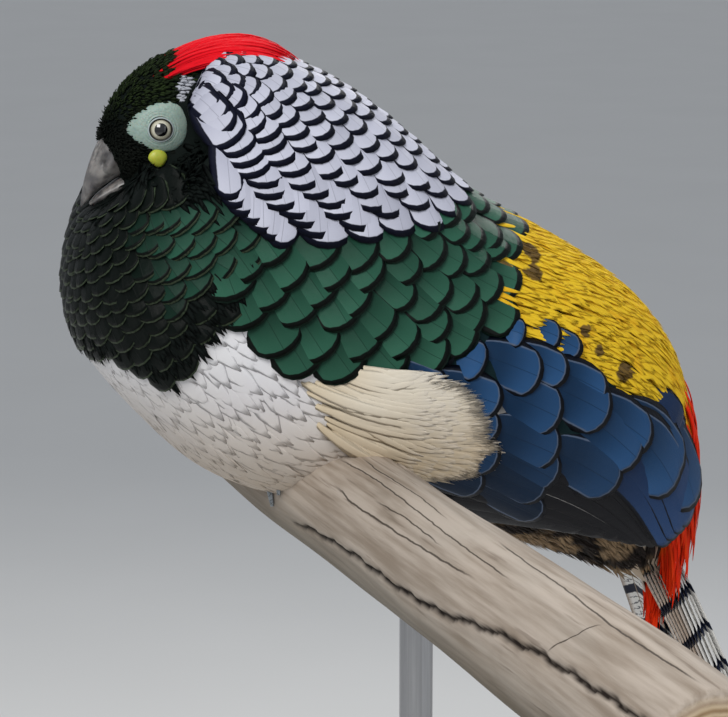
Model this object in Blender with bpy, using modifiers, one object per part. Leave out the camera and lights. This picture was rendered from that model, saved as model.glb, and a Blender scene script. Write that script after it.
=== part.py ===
"""A cock Lady Amherst's pheasant at rest on a cut length of log, on a plain display stand.

Metres, +Z up. The bird faces -X and the log runs along Y. The bird and the log are modelled about the
point where the bird sits, on top of the log, and every object's location carries that point to its
place over the stand. The origin of the whole model is the middle of the stand's underside.
"""

import math

import bmesh
import bpy
import numpy as np
from mathutils import Vector

MM = 0.001

# Driving dimensions
PERCH_TOP = 926 * MM
SITS_AT_Y = 130 * MM
LOG_RADIUS = 26.5 * MM
LOG_BACK_END = 105 * MM
LOG_FRONT_END = -405 * MM
GAP = 0.35 * MM
BASE_SIZE = (420 * MM, 380 * MM, 22 * MM)
ROD_RADIUS = 7 * MM
TAIL_LENGTH = 850 * MM
EYE_RADIUS = 6.4 * MM
VANE_THICKNESS = 0.8 * MM

# The body as pairs of points on the mid plane, back (x, z) and belly (x, z), with its half width there
BODY_RINGS = (
    ((-54, 152), (-82, 118), 14),
    ((-50, 170), (-104, 100), 33),
    ((-31, 173), (-112, 78), 46),
    ((-11, 165), (-112, 56), 57),
    ((15, 151), (-104, 36), 65),
    ((41, 131), (-84, 11), 70),
    ((72, 104), (-57, -15), 73),
    ((100, 87), (-22, -31), 73),
    ((127, 71), (12, -38), 70),
    ((152, 52), (50, -47), 63),
    ((173, 26), (92, -60), 53),
    ((184, -8), (122, -71), 41),
    ((186, -38), (142, -80), 29),
    ((180, -62), (154, -86), 17),
)
HEAD_RINGS = (
    ((-40, 160), (-36, 122), 15),
    ((-50, 169), (-44, 114), 19),
    ((-66, 170), (-54, 110), 20.5),
    ((-80, 163), (-65, 108), 20),
    ((-90, 153), (-75, 109), 17.5),
    ((-96, 141), (-84, 112), 13.5),
    ((-98, 133), (-90, 116), 8.5),
)
EYE_AT = (-76.0, 139.6)
WATTLE_AT = (-77.1, 126.6)
# Hollows of the ruff round the eye and the wattle: middle (x, z), radius at the head and farther out
FACE_HOLLOWS = (((-76.5, 140.0), 13.0, 20.0), ((-78.5, 127.5), 6.5, 11.5))
HEAD_REACH = ((-92, 138), 38)
NECK_PLANE = ((58, 117), (-113, 66))


def blend(values, place):
    """A smooth curve through evenly spaced values, read at a place from 0 to their last index."""
    values = np.asarray(values, float)
    last = len(values) - 1
    i = min(max(int(place), 0), last - 1)
    t = place - i
    before = values[i - 1] if i > 0 else 2 * values[i] - values[i + 1]
    after = values[i + 2] if i + 2 <= last else 2 * values[i + 1] - values[i]
    return 0.5 * (
        2 * values[i]
        + t * (values[i + 1] - before)
        + t * t * (2 * before - 5 * values[i] + 4 * values[i + 1] - after)
        + t * t * t * (3 * (values[i] - values[i + 1]) + after - before)
    )


class Loft:
    """A closed form through rings that stand across the mid plane, with its widest level set low."""

    def __init__(self, rings, low=0.12):
        self.table = np.array([(*back, *belly, wide) for back, belly, wide in rings]) * MM
        self.low = low
        self.last = len(rings) - 1
        self.facing = 1 if rings[-1][0][0] > rings[0][0][0] else -1

    def point(self, u, v):
        """The point at ring place u and angle v: 0 on the back, pi on the belly, positive on the left."""
        back_x, back_z, belly_x, belly_z, wide = blend(self.table, u)
        across = math.cos(v) - self.low * math.sin(v) ** 2
        x = (back_x + belly_x) / 2 + (back_x - belly_x) / 2 * across
        z = (back_z + belly_z) / 2 + (back_z - belly_z) / 2 * across
        return Vector((x, -wide * math.sin(v), z))

    def slopes(self, u, v):
        """The two tangents and the outward normal at (u, v)."""
        step = 0.02
        along = (self.point(u + step, v) - self.point(u - step, v)) / (2 * step)
        around = (self.point(u, v + step) - self.point(u, v - step)) / (2 * step)
        return along, around, around.cross(along).normalized() * self.facing

    def walk(self, u, v, heading, reach, steps):
        """Places on the way from (u, v): heading 0 runs tailwards and positive turns to the belly.

        Returns (u, v, point, normal) at every step.
        """
        trail = []
        sign = 1 if v >= 0 else -1
        for _ in range(steps + 1):
            along, around, normal = self.slopes(u, v)
            trail.append((u, v, self.point(u, v), normal))
            ahead = along.normalized()
            down = (around - ahead * around.dot(ahead)).normalized() * sign
            way = (ahead * math.cos(heading) + down * math.sin(heading)) * (reach / steps)
            a, b, c = along.dot(along), along.dot(around), around.dot(around)
            p, q = way.dot(along), way.dot(around)
            u += (p * c - q * b) / (a * c - b * b)
            v += (q * a - p * b) / (a * c - b * b)
            u = min(max(u, 0.05), self.last + 0.6)
        return trail

    def mesh(self, name, rings, sides):
        """The closed mesh of the whole form, with a flat cap at each end."""
        points = [
            self.point(self.last * i / (rings - 1), 2 * math.pi * j / sides)
            for i in range(rings)
            for j in range(sides)
        ]
        faces = [
            (i * sides + j, i * sides + (j + 1) % sides, (i + 1) * sides + (j + 1) % sides, (i + 1) * sides + j)
            for i in range(rings - 1)
            for j in range(sides)
        ]
        faces.append(tuple(range(sides))[::-1])
        faces.append(tuple((rings - 1) * sides + j for j in range(sides)))
        return new_object(name, points, faces)


BODY = Loft(BODY_RINGS)
HEAD = Loft(HEAD_RINGS, low=0.0)


def new_object(name, points, faces):
    """A mesh object from points and faces, with its faces turned outwards."""
    mesh = bpy.data.meshes.new(name)
    mesh.from_pydata([tuple(p) for p in points], [], faces)
    work = bmesh.new()
    work.from_mesh(mesh)
    bmesh.ops.recalc_face_normals(work, faces=work.faces)
    bmesh.ops.triangulate(work, faces=work.faces)
    work.to_mesh(mesh)
    work.free()
    obj = bpy.data.objects.new(name, mesh)
    bpy.context.scene.collection.objects.link(obj)
    return obj


def primitive(name, make, **sizes):
    """An object from one bmesh primitive."""
    work = bmesh.new()
    make(work, **sizes)
    mesh = bpy.data.meshes.new(name)
    work.to_mesh(mesh)
    work.free()
    obj = bpy.data.objects.new(name, mesh)
    bpy.context.scene.collection.objects.link(obj)
    return obj


def ball(name, centre, radii, turn=0.0, fine=12):
    """An ellipsoid at centre, turned by an angle about Y."""
    obj = primitive(
        name, bmesh.ops.create_uvsphere, u_segments=fine, v_segments=max(6, fine // 2 + 2), radius=1.0
    )
    cos_turn, sin_turn = math.cos(turn), math.sin(turn)
    for vertex in obj.data.vertices:
        x, y, z = (vertex.co[i] * radii[i] for i in range(3))
        vertex.co = (
            centre[0] + x * cos_turn + z * sin_turn,
            centre[1] + y,
            centre[2] - x * sin_turn + z * cos_turn,
        )
    return obj


def bake(obj):
    """Applies the object's modifiers."""
    bpy.context.view_layer.update()
    graph = bpy.context.evaluated_depsgraph_get()
    mesh = bpy.data.meshes.new_from_object(obj.evaluated_get(graph))
    obj.modifiers.clear()
    obj.data = mesh


def cut(obj, other, operation="DIFFERENCE", keep_other=False):
    """Cuts obj by other, or keeps what they share, and removes the cutter."""
    modifier = obj.modifiers.new("cut", "BOOLEAN")
    modifier.operation = operation
    modifier.solver = "MANIFOLD"
    modifier.object = other
    bake(obj)
    if not keep_other:
        bpy.data.objects.remove(other)


def join(name, pieces):
    """One Boolean union of closed pieces, kept as its largest closed surface."""
    first, *others = pieces
    group = bpy.data.collections.new(name + "_pieces")
    bpy.context.scene.collection.children.link(group)
    for piece in others:
        group.objects.link(piece)
        bpy.context.scene.collection.objects.unlink(piece)
    modifier = first.modifiers.new("join", "BOOLEAN")
    modifier.operation = "UNION"
    modifier.operand_type = "COLLECTION"
    modifier.solver = "MANIFOLD"
    modifier.collection = group
    bake(first)
    for piece in others:
        bpy.data.objects.remove(piece)
    bpy.data.collections.remove(group)
    first.name = name
    keep_largest(first)
    return first


def keep_largest(obj):
    """Drops every closed surface but the one with the largest volume."""
    work = bmesh.new()
    work.from_mesh(obj.data)
    bmesh.ops.triangulate(work, faces=work.faces)
    left = set(work.faces)
    shells = []
    while left:
        start = left.pop()
        shell, edge_of = {start}, [start]
        while edge_of:
            face = edge_of.pop()
            for edge in face.edges:
                for near in edge.link_faces:
                    if near in left:
                        left.discard(near)
                        shell.add(near)
                        edge_of.append(near)
        volume = sum(
            f.verts[0].co.dot(f.verts[1].co.cross(f.verts[2].co)) for f in shell
        )
        shells.append((abs(volume), shell))
    shells.sort(key=lambda item: item[0])
    for _, shell in shells[:-1]:
        bmesh.ops.delete(work, geom=list(shell), context="FACES")
    work.to_mesh(obj.data)
    work.free()


def swollen(obj, by):
    """A copy of a mesh object whose surface stands out by a set distance."""
    copy = obj.copy()
    copy.data = obj.data.copy()
    bpy.context.scene.collection.objects.link(copy)
    work = bmesh.new()
    work.from_mesh(copy.data)
    work.normal_update()
    moves = [(v, v.normal * by * min(v.calc_shell_factor(), 1.6)) for v in work.verts]
    for vertex, move in moves:
        vertex.co += move
    work.to_mesh(copy.data)
    work.free()
    return copy


def vane(trail, sides_of, widths, thickness=VANE_THICKNESS, camber=0.0):
    """A feather's closed vane: a strip along a trail, flat or crowned across, its two faces split alike.

    trail holds centre points with the outward normals, sides_of the sideways directions there.
    """
    columns = (-0.5, 0.0, 0.5) if camber else (-0.5, 0.5)
    count = len(columns)
    points = []
    for (centre, normal), side, wide in zip(trail, sides_of, widths):
        for face in (0.5, -0.5):
            for column in columns:
                drop = camber * wide * abs(column) * 2
                points.append(centre + side * (wide * column) + normal * (thickness * face - drop))
    faces = []
    for i in range(len(trail) - 1):
        a, b = 2 * count * i, 2 * count * (i + 1)
        for j in range(count - 1):
            for base_a, base_b in ((a, b), (a + count, b + count)):
                faces.append((base_a + j, base_a + j + 1, base_b + j + 1))
                faces.append((base_a + j, base_b + j + 1, base_b + j))
        for j in (0, count - 1):
            faces.append((a + j, a + count + j, b + count + j))
            faces.append((a + j, b + count + j, b + j))
    for a in (0, 2 * count * (len(trail) - 1)):
        for j in range(count - 1):
            faces.append((a + j, a + j + 1, a + count + j + 1, a + count + j))
    return new_object("vane", points, faces)


# Heights of a laid feather over what it lies on, as (share of its length, height)
LIE = ((0.0, -1.4), (0.33, 0.75), (1.0, 2.5))


def laid_vane(surface, tip, heading, length, width, shape, lie=LIE, lift=None, stations=4, roll=0.0, root_ok=None):
    """A vane laid on a lofted form with its tip at (u, v); its root sinks in and it rises to the tip.

    lift gives the height of what the feather lies on over the form at (u, v), roll raises the edge on the
    belly's side, and root_ok tells whether a root may stand at a point. A feather whose root may not
    stand where its length puts it is made shorter, and None comes back if none fits.
    """
    while True:
        trail = surface.walk(tip[0], tip[1], heading + math.pi, length, stations - 1)[::-1]
        if root_ok is None or root_ok(trail[0][2]):
            break
        length *= 0.92
        if length < 11 * MM:
            return None
    placed, sideways, widths = [], [], []
    turn = math.tan(math.radians(roll)) * (1 if tip[1] >= 0 else -1)
    for i, (u, v, centre, normal) in enumerate(trail):
        t = i / (stations - 1)
        height = (lift(u, v) if lift else 0.0) + float(np.interp(t, *zip(*lie))) * MM
        ahead = (trail[min(i + 1, stations - 1)][2] - trail[max(i - 1, 0)][2]).normalized()
        side = (ahead.cross(normal).normalized() + normal * turn).normalized()
        placed.append((centre + normal * height, side.cross(ahead).normalized()))
        sideways.append(side)
        widths.append(width * shape(t))
    return vane(placed, sideways, widths)


def round_tip(t):
    """Width share of a broad feather with a rounded end."""
    return float(np.interp(t, (0.0, 0.35, 0.7, 0.88, 1.0), (0.55, 0.92, 1.0, 0.8, 0.42)))


def lance_tip(t):
    """Width share of a narrow feather that runs to a point."""
    return float(np.interp(t, (0.0, 0.35, 0.7, 1.0), (0.6, 1.0, 0.75, 0.16)))


def plume_tip(t):
    """Width share of a soft plume that widens to a blunt end."""
    return float(np.interp(t, (0.0, 0.6, 0.85, 1.0), (0.5, 1.0, 0.9, 0.5)))


def plain_faces(obj):
    """Joins the flat splinters that the cuts leave, and leaves alone the places where that would open it."""
    tender = []
    for _ in range(8):
        work = bmesh.new()
        work.from_mesh(obj.data)
        free = {v for v in work.verts if all((v.co - place).length > 3 * MM for place in tender)}
        edges = [edge for edge in work.edges if edge.verts[0] in free and edge.verts[1] in free]
        bmesh.ops.dissolve_limit(work, angle_limit=math.radians(1.1), verts=list(free), edges=edges)
        bmesh.ops.triangulate(work, faces=work.faces)
        wrong = [edge for edge in work.edges if len(edge.link_faces) != 2]
        tender += [(edge.verts[0].co + edge.verts[1].co) / 2 for edge in wrong]
        if not wrong:
            work.to_mesh(obj.data)
        work.free()
        if not wrong:
            return


def finish_piece(obj, name, colour, roughness, metallic=0.0):
    """Names a node and gives it its own material."""
    plain_faces(obj)
    obj.name = name
    obj.data.name = name
    material = bpy.data.materials.new(name)
    material.use_nodes = True
    shader = material.node_tree.nodes["Principled BSDF"]
    shader.inputs["Base Color"].default_value = (*colour, 1.0)
    shader.inputs["Roughness"].default_value = roughness
    shader.inputs["Metallic"].default_value = metallic
    obj.data.materials.clear()
    obj.data.materials.append(material)
    obj.data.shade_smooth()
    obj.data.set_sharp_from_angle(angle=math.radians(40))
    return obj


def half_space(name, first, second, below):
    """A big block on one side of the plane through two points (x, z) of the mid plane, across Y."""
    size = 600 * MM
    start = Vector((first[0], 0, first[1])) * MM
    end = Vector((second[0], 0, second[1])) * MM
    run = (end - start).normalized()
    up = Vector((-run.z, 0, run.x))
    if up.z < 0:
        up = -up
    if below:
        up = -up
    corners = [
        start + run * a + Vector((0, b, 0)) + up * c
        for c in (0, size)
        for a, b in ((-size, -size), (size, -size), (size, size), (-size, size))
    ]
    faces = [(0, 1, 2, 3), (4, 5, 6, 7), (0, 1, 5, 4), (1, 2, 6, 5), (2, 3, 7, 6), (3, 0, 4, 7)]
    return new_object(name, corners, faces)


def drum(name, centre, radius, low_y, high_y, sides=32, end_radius=None):
    """A cylinder along Y, or a cone with another radius at its second end."""
    points = [
        Vector((centre[0] + wide * math.cos(2 * math.pi * j / sides), y,
                centre[1] + wide * math.sin(2 * math.pi * j / sides)))
        for y, wide in ((low_y, radius), (high_y, end_radius or radius))
        for j in range(sides)
    ]
    faces = [(j, (j + 1) % sides, sides + (j + 1) % sides, sides + j) for j in range(sides)]
    faces += [tuple(range(sides)), tuple(range(sides, 2 * sides))]
    return new_object(name, points, faces)


def tube(name, path, radii, sides=8):
    """A closed tube through a path of points, with a radius at each."""
    points = []
    for i, centre in enumerate(path):
        ahead = (path[min(i + 1, len(path) - 1)] - path[max(i - 1, 0)]).normalized()
        across = ahead.cross(Vector((0.0, 1.0, 0.02))).normalized()
        other = ahead.cross(across).normalized()
        for j in range(sides):
            angle = 2 * math.pi * j / sides
            points.append(centre + (across * math.cos(angle) + other * math.sin(angle)) * radii[i])
    faces = []
    for i in range(len(path) - 1):
        for j in range(sides):
            k = (j + 1) % sides
            faces.append((i * sides + j, i * sides + k, (i + 1) * sides + k, (i + 1) * sides + j))
    faces.append(tuple(range(sides)))
    faces.append(tuple((len(path) - 1) * sides + j for j in range(sides)))
    return new_object(name, points, faces)


def make_log():
    """The cut length of log, a little uneven."""
    stations, sides = 9, 18
    points, faces = [], []
    for i in range(stations):
        y = LOG_BACK_END + (LOG_FRONT_END - LOG_BACK_END) * i / (stations - 1)
        for j in range(sides):
            angle = 2 * math.pi * j / sides
            swell = 1 + 0.02 * math.sin(y * 23 + 2 * angle) + 0.012 * math.sin(y * 41 - 3 * angle)
            end = 0.94 if i in (0, stations - 1) else 1.0
            radius = LOG_RADIUS * swell * end
            points.append(Vector((radius * math.cos(angle), y, -LOG_RADIUS + radius * math.sin(angle))))
    for i in range(stations - 1):
        for j in range(sides):
            k = (j + 1) % sides
            faces.append((i * sides + j, i * sides + k, (i + 1) * sides + k, (i + 1) * sides + j))
    faces.append(tuple(range(sides)))
    faces.append(tuple((stations - 1) * sides + j for j in range(sides)))
    return new_object("perch_log", points, faces)


def make_flesh():
    """Head, neck and trunk as one form, before it is parted."""
    trunk = BODY.mesh("trunk", 24, 22)
    for (x, z), near, far in FACE_HOLLOWS:
        for sign in (1, -1):
            cut(trunk, drum("hollow", (x * MM, z * MM), near * MM, -13 * sign * MM, -45 * sign * MM, sides=12,
                            end_radius=far * MM))
    head = HEAD.mesh("skull_cover", 11, 16)
    return join("flesh", [trunk, head])


def head_region(name, grow):
    """The region that is the head, seen from the side: a round one and a small one at the crest's root."""
    (x, z), radius = HEAD_REACH
    face = drum(name, (x * MM, z * MM), radius * MM + grow, -100 * MM, 100 * MM)
    crown = drum("crown_cutter", (-66 * MM, 162 * MM), 13 * MM + grow, -99 * MM, 99 * MM, sides=16)
    return join(name, [face, crown])


def copy_of(obj, name):
    """A separate copy of a mesh object."""
    made = obj.copy()
    made.data = obj.data.copy()
    made.name = name
    bpy.context.scene.collection.objects.link(made)
    return made


def side_point(x, z):
    """The point of the left side of the head nearest to (x, z) of the mid plane, with its normal."""
    best = None
    for i in range(60):
        u = HEAD.last * (0.1 + 0.88 * i / 59)
        for j in range(40):
            v = math.pi * (0.1 + 0.8 * j / 39)
            p = HEAD.point(u, v)
            off = (p.x - x * MM) ** 2 + (p.z - z * MM) ** 2
            if best is None or off < best[0]:
                best = (off, p, HEAD.slopes(u, v)[2])
    return best[1], best[2]


def mirrored(obj, name):
    """The mirror image of a mesh object on the other side of the mid plane."""
    made = copy_of(obj, name)
    work = bmesh.new()
    work.from_mesh(made.data)
    for vertex in work.verts:
        vertex.co.y = -vertex.co.y
    bmesh.ops.reverse_faces(work, faces=work.faces)
    work.to_mesh(made.data)
    work.free()
    return made


def make_head(flesh):
    """The head with its sockets, lids, face wattles and crest."""
    head = copy_of(flesh, "head")
    cut(head, head_region("head_cutter", 0.0), "INTERSECT")
    keep_largest(head)
    eye_point, out = side_point(*EYE_AT)
    eye_centre = eye_point - out * (EYE_RADIUS * 0.62)
    drop = side_point(*WATTLE_AT)[0]
    pieces = [head]
    for sign in (1, -1):
        centre = Vector((eye_centre.x, eye_centre.y * sign, eye_centre.z))
        way = Vector((out.x, out.y * sign, out.z))
        pieces.append(lid_ring(centre + way * EYE_RADIUS * 0.66, way))
        pieces.append(
            ball("wattle", (drop.x, (drop.y + 0.4 * MM) * sign, drop.z), (4.2 * MM, 2.4 * MM, 4.2 * MM), fine=8)
        )
    pieces += crest_locks()
    head = join("head", pieces)
    for sign in (1, -1):
        centre = Vector((eye_centre.x, eye_centre.y * sign, eye_centre.z))
        cut(head, ball("socket", centre, (EYE_RADIUS + GAP,) * 3, fine=12))
    keep_largest(head)
    return head, eye_centre


def lid_ring(centre, way):
    """The rim of the eyelids as a ring round the eye."""
    sides, tube_sides = 11, 4
    across = way.cross(Vector((0, 0, 1))).normalized()
    other = way.cross(across).normalized()
    points = []
    for i in range(sides):
        angle = 2 * math.pi * i / sides
        ray = across * math.cos(angle) + other * math.sin(angle)
        for j in range(tube_sides):
            turn = 2 * math.pi * j / tube_sides
            points.append(centre + ray * (6.0 + 1.3 * math.cos(turn)) * MM + way * (1.3 * math.sin(turn) - 0.4) * MM)
    faces = [
        (i * tube_sides + j, i * tube_sides + (j + 1) % tube_sides,
         ((i + 1) % sides) * tube_sides + (j + 1) % tube_sides, ((i + 1) % sides) * tube_sides + j)
        for i in range(sides)
        for j in range(tube_sides)
    ]
    return new_object("lid", points, faces)


# The crest's top line in the mid plane, x and z from its root to its tip
CREST_LINE = ((-74, 162.5), (-63, 170.0), (-49, 174.3), (-35, 175.8), (-22, 173.0), (-11, 167.2), (-1, 160.8))


def crest_locks():
    """The narrow crest feathers, from the back of the crown down over the nape, in three layers."""
    locks = []
    for _, count, first, last, height in ((0, 5, 0.12, 1.0, -1.2), (1, 4, 0.06, 0.82, 0.2), (2, 3, 0.0, 0.62, 1.3)):
        for i in range(count):
            share = (i - (count - 1) / 2) / 2
            steps = 5
            spine = []
            for k in range(steps):
                place = (first + (last - 0.07 * abs(share) - first) * k / (steps - 1)) * (len(CREST_LINE) - 1)
                x, z = blend(CREST_LINE, place)
                y = -share * (13 + 5 * k / steps)
                low = 2.4 if k == 0 else 0.0
                spine.append(Vector((x + 0.6 * abs(share), y, z - 4.6 * (y / 15) ** 2 + height - low)) * MM)
            trail, sideways, widths = [], [], []
            for k, centre in enumerate(spine):
                ahead = (spine[min(k + 1, steps - 1)] - spine[max(k - 1, 0)]).normalized()
                side = Vector((0.0, 1.0, 0.55 * share)).normalized()
                normal = ahead.cross(side)
                normal = (normal if normal.z > 0 or normal.x > 0 else -normal).normalized()
                trail.append((centre, normal))
                sideways.append(side)
                widths.append(8.5 * MM * lance_tip(k / (steps - 1)))
            locks.append(vane(trail, sideways, widths, thickness=1.0 * MM))
    return locks


def make_eyes(centre):
    """Both eyeballs, each set in its socket."""
    return [
        ball(name, (centre.x, centre.y * sign, centre.z), (EYE_RADIUS,) * 3, fine=12)
        for name, sign in (("eye_left", 1), ("eye_right", -1))
    ]


def bill_half(name, rings, sides=10):
    """One half of the bill from rings of (x, z) top, (x, z) bottom and half width."""
    form = Loft(rings, low=0.0)
    return form.mesh(name, 7, sides)


def make_bill():
    """The upper and lower bill, parted along the line of the mouth and cut to meet the head."""
    upper = bill_half("bill_upper", (
        ((-93, 138), (-83, 119.5), 8.6),
        ((-98.5, 132), (-89, 117.5), 7.0),
        ((-102.5, 124), (-95.5, 114.0), 5.2),
        ((-105.2, 116), (-100.5, 110.5), 3.7),
        ((-106.6, 109.5), (-104.0, 106.6), 2.0),
        ((-107.4, 104.8), (-106.2, 104.2), 0.7),
    ))
    for sign in (1, -1):
        cut(upper, ball("nostril", (-98.6 * MM, 5.9 * sign * MM, 123.5 * MM),
                        (2.2 * MM, 1.6 * MM, 1.1 * MM), turn=0.9, fine=8))
    lower = bill_half("bill_lower", (
        ((-82, 118.6), (-84, 111), 7.0),
        ((-88.6, 116.7), (-88.5, 109.6), 6.0),
        ((-95.0, 113.1), (-94, 107.8), 4.4),
        ((-99.9, 109.7), (-99, 105.9), 3.0),
        ((-103.4, 106.0), (-103.0, 104.6), 1.3),
    ))
    inside = swollen_core()
    for half in (upper, lower):
        cut(half, inside, keep_other=True)
        keep_largest(half)
    bpy.data.objects.remove(inside)
    return upper, lower


def swollen_core():
    """The head's plain form, a little larger, to cut what meets it."""
    form = HEAD.mesh("head_form", 11, 16)
    larger = swollen(form, GAP)
    bpy.data.objects.remove(form)
    return larger


def line_at(line, v):
    """The ring place of a line across the body, given as (angle, ring place) pairs, at an angle."""
    angles, places = zip(*line)
    return float(np.interp(abs(v), angles, places))


# Lines across the body, as (angle from the back in degrees, ring place), the same on both sides
CAPE_EDGE = ((0, 5.97), (20, 5.88), (40, 5.62), (60, 5.2), (72, 4.8), (82, 4.1), (96, 3.3), (104, 2.9))
MANTLE_EDGE = ((0, 6.9), (30, 6.85), (45, 6.95), (58, 7.25), (64, 6.95), (80, 6.6), (86, 6.3), (94, 5.9), (104, 5.4))
# Rows of the cape: ring place on the back, ring place at the ends, end angle, width and count
CAPE_ROWS = (
    (5.97, 4.10, 83, 21.0, 9),
    (5.15, 3.55, 83, 20.5, 8),
    (4.30, 3.00, 83, 18.0, 9),
    (3.45, 2.45, 80, 18.5, 8),
    (2.65, 1.90, 76, 13.5, 9),
    (1.95, 1.50, 71, 12.0, 8),
)


def above_cut(point):
    """Height of a point over the plane that parts neck and trunk."""
    (back_x, back_z), (front_x, front_z) = NECK_PLANE
    rise = (back_z - front_z) / (back_x - front_x)
    return (point.z - front_z * MM - rise * (point.x - front_x * MM)) / math.hypot(1, rise)


def from_head(point):
    """Distance of a point from the region of the head, seen from the side."""
    (x, z), radius = HEAD_REACH
    return math.hypot(point.x - x * MM, point.z - z * MM) - radius * MM


def cape_vanes():
    """The cape's feathers, the row next to the back first."""
    vanes = []
    for back_u, end_u, end_v, width, count in CAPE_ROWS:
        for i in range(count):
            t = 2 * i / (count - 1) - 1
            if back_u < 3.0 and abs(end_v * t) < 26:
                continue
            u = back_u - (back_u - end_u) * abs(t) ** 2.6
            heading = math.radians(32 * abs(t) ** 1.5)
            length = (26 + 25 * (back_u - 1.9) / 4.07) * MM
            vanes.append(laid_vane(
                BODY, (u, math.radians(end_v * t)), heading, length, width * MM, round_tip,
                root_ok=lambda point: above_cut(point) > 11 * MM and from_head(point) > 2 * MM,
            ))
    return [made for made in vanes if made]


def crest_room():
    """The room the crest takes over the nape, a flat form with a little air round it."""
    rings = []
    for k in range(7):
        x, z = blend(CREST_LINE, 1.0 + 5.2 * k / 6)
        wide = (14, 20, 23, 24, 24, 23, 20)[k]
        rings.append(((x, z + 6), (x - 2, z - 3.2), wide))
    points, faces = [], []
    for (top_x, top_z), (low_x, low_z), wide in rings:
        for share, depth in ((-1, 8), (-0.5, 2.4), (0, 0), (0.5, 2.4), (1, 8)):
            points.append(Vector((low_x, wide * share, low_z - depth * 0.9)) * MM)
        for share, depth in ((1, 3), (-1, 3)):
            points.append(Vector((top_x, wide * share, top_z - depth)) * MM)
    for i in range(6):
        for j in range(7):
            k = (j + 1) % 7
            faces.append((i * 7 + j, i * 7 + k, (i + 1) * 7 + k, (i + 1) * 7 + j))
    faces += [tuple(range(7)), tuple(range(42, 49))]
    return new_object("crest_room", points, faces)


def make_neck(flesh):
    """The neck with the cape, its feathers laid in tiers."""
    neck = copy_of(flesh, "neck")
    cut(neck, half_space("above", *NECK_PLANE, below=False), "INTERSECT")
    cut(neck, head_region("head_cutter", GAP))
    keep_largest(neck)
    neck = join("neck", [neck, *cape_vanes()])
    cut(neck, head_region("head_cutter", GAP))
    cut(neck, crest_room())
    for near in (*crest_locks(), *mantle_vanes(rows=(1, 2))):
        cut(neck, swollen(near, 1.3 * GAP))
        bpy.data.objects.remove(near)
    keep_largest(neck)
    return neck


def mantle_vanes(rows=(0, 1, 2)):
    """The scaly feathers of the mantle and the shoulders, on both sides of the back."""
    vanes = []
    for row in rows:
        count = (10, 11, 10)[row]
        share = (3 - row) / 3
        for i in range(count):
            v = 100 * (2 * i / (count - 1) - 1)
            u = line_at(CAPE_EDGE, v) * (1 - share) + line_at(MANTLE_EDGE, v) * share
            vanes.append(laid_vane(
                BODY, (u, math.radians(v)), 0.0, (36 if abs(v) > 30 else 27) * MM, 21.0 * MM, round_tip,
                root_ok=lambda point: above_cut(point) < -2 * MM,
            ))
    return [made for made in vanes if made]


def covert_vanes():
    """The narrow pointed feathers of the rump's end, over the root of the tail."""
    return [
        laid_vane(BODY, (u, math.radians(v)), 0.0, length * MM, 12 * MM, lance_tip)
        for u, v, length in (
            (12.9, 0, 62), (12.8, 40, 58), (12.8, -40, 58), (11.7, 20, 44), (11.7, -20, 44),
        )
    ]


# The flank plumes: tip ring place, tip angle, heading and length
PLUMES = (
    (7.00, 81, -14, 44), (7.45, 85, -10, 52), (7.85, 90, -7, 58), (8.15, 96, -4, 62), (8.38, 103, 0, 64),
    (8.25, 110, 3, 58), (7.85, 115, 5, 50),
)


# The plumes spring from the flank and stand clear of the wing
PLUME_LIE = ((0.0, -2.0), (0.25, 5.0), (0.5, 8.6), (1.0, 9.2))


def plume_vanes(signs=(1, -1)):
    """The flank plumes, on the sides asked for."""
    return [
        laid_vane(BODY, (u, math.radians(v) * sign), math.radians(heading), length * MM, 17 * MM, plume_tip,
                  lie=PLUME_LIE, stations=5, roll=8)
        for u, v, heading, length in PLUMES
        for sign in signs
    ]


def make_torso(flesh):
    """The trunk below the neck, with the mantle, the rump's end and the flank plumes."""
    torso = copy_of(flesh, "torso")
    start, end = NECK_PLANE
    lowered = ((start[0], start[1] - 0.4), (end[0], end[1] - 0.4))
    cut(torso, half_space("below", *lowered, below=True), "INTERSECT")
    keep_largest(torso)
    return join("torso", [torso, *mantle_vanes(), *covert_vanes(), *plume_vanes()])


# The folded wing's upper and lower edge, as (ring place, angle), and its height over the body
WING_UPPER = ((6.45, 85), (6.7, 80), (7.05, 72), (7.4, 60), (8.1, 58), (9.35, 58), (10.5, 54), (11.2, 52), (11.5, 60))
WING_LOWER = ((6.45, 94), (6.7, 100), (7.5, 108), (8.5, 116), (9.1, 124), (10.0, 126), (10.9, 116), (11.3, 96), (11.5, 72))
WING_RISE = ((6.45, 1.3), (7.0, 2.0), (7.6, 3.0), (9.0, 5.4), (10.5, 7.4), (11.5, 8.2))


def wing_height(u, v):
    """Height of the folded wing's surface over the body, thinning to its edges."""
    upper = np.interp(u, *zip(*WING_UPPER))
    lower = np.interp(u, *zip(*WING_LOWER))
    across = (abs(math.degrees(v)) - upper) / (lower - upper)
    edge = 1 - 0.55 * max(0.0, 1 - 4 * across) ** 2
    return float(np.interp(u, *zip(*WING_RISE))) * edge * MM


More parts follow.
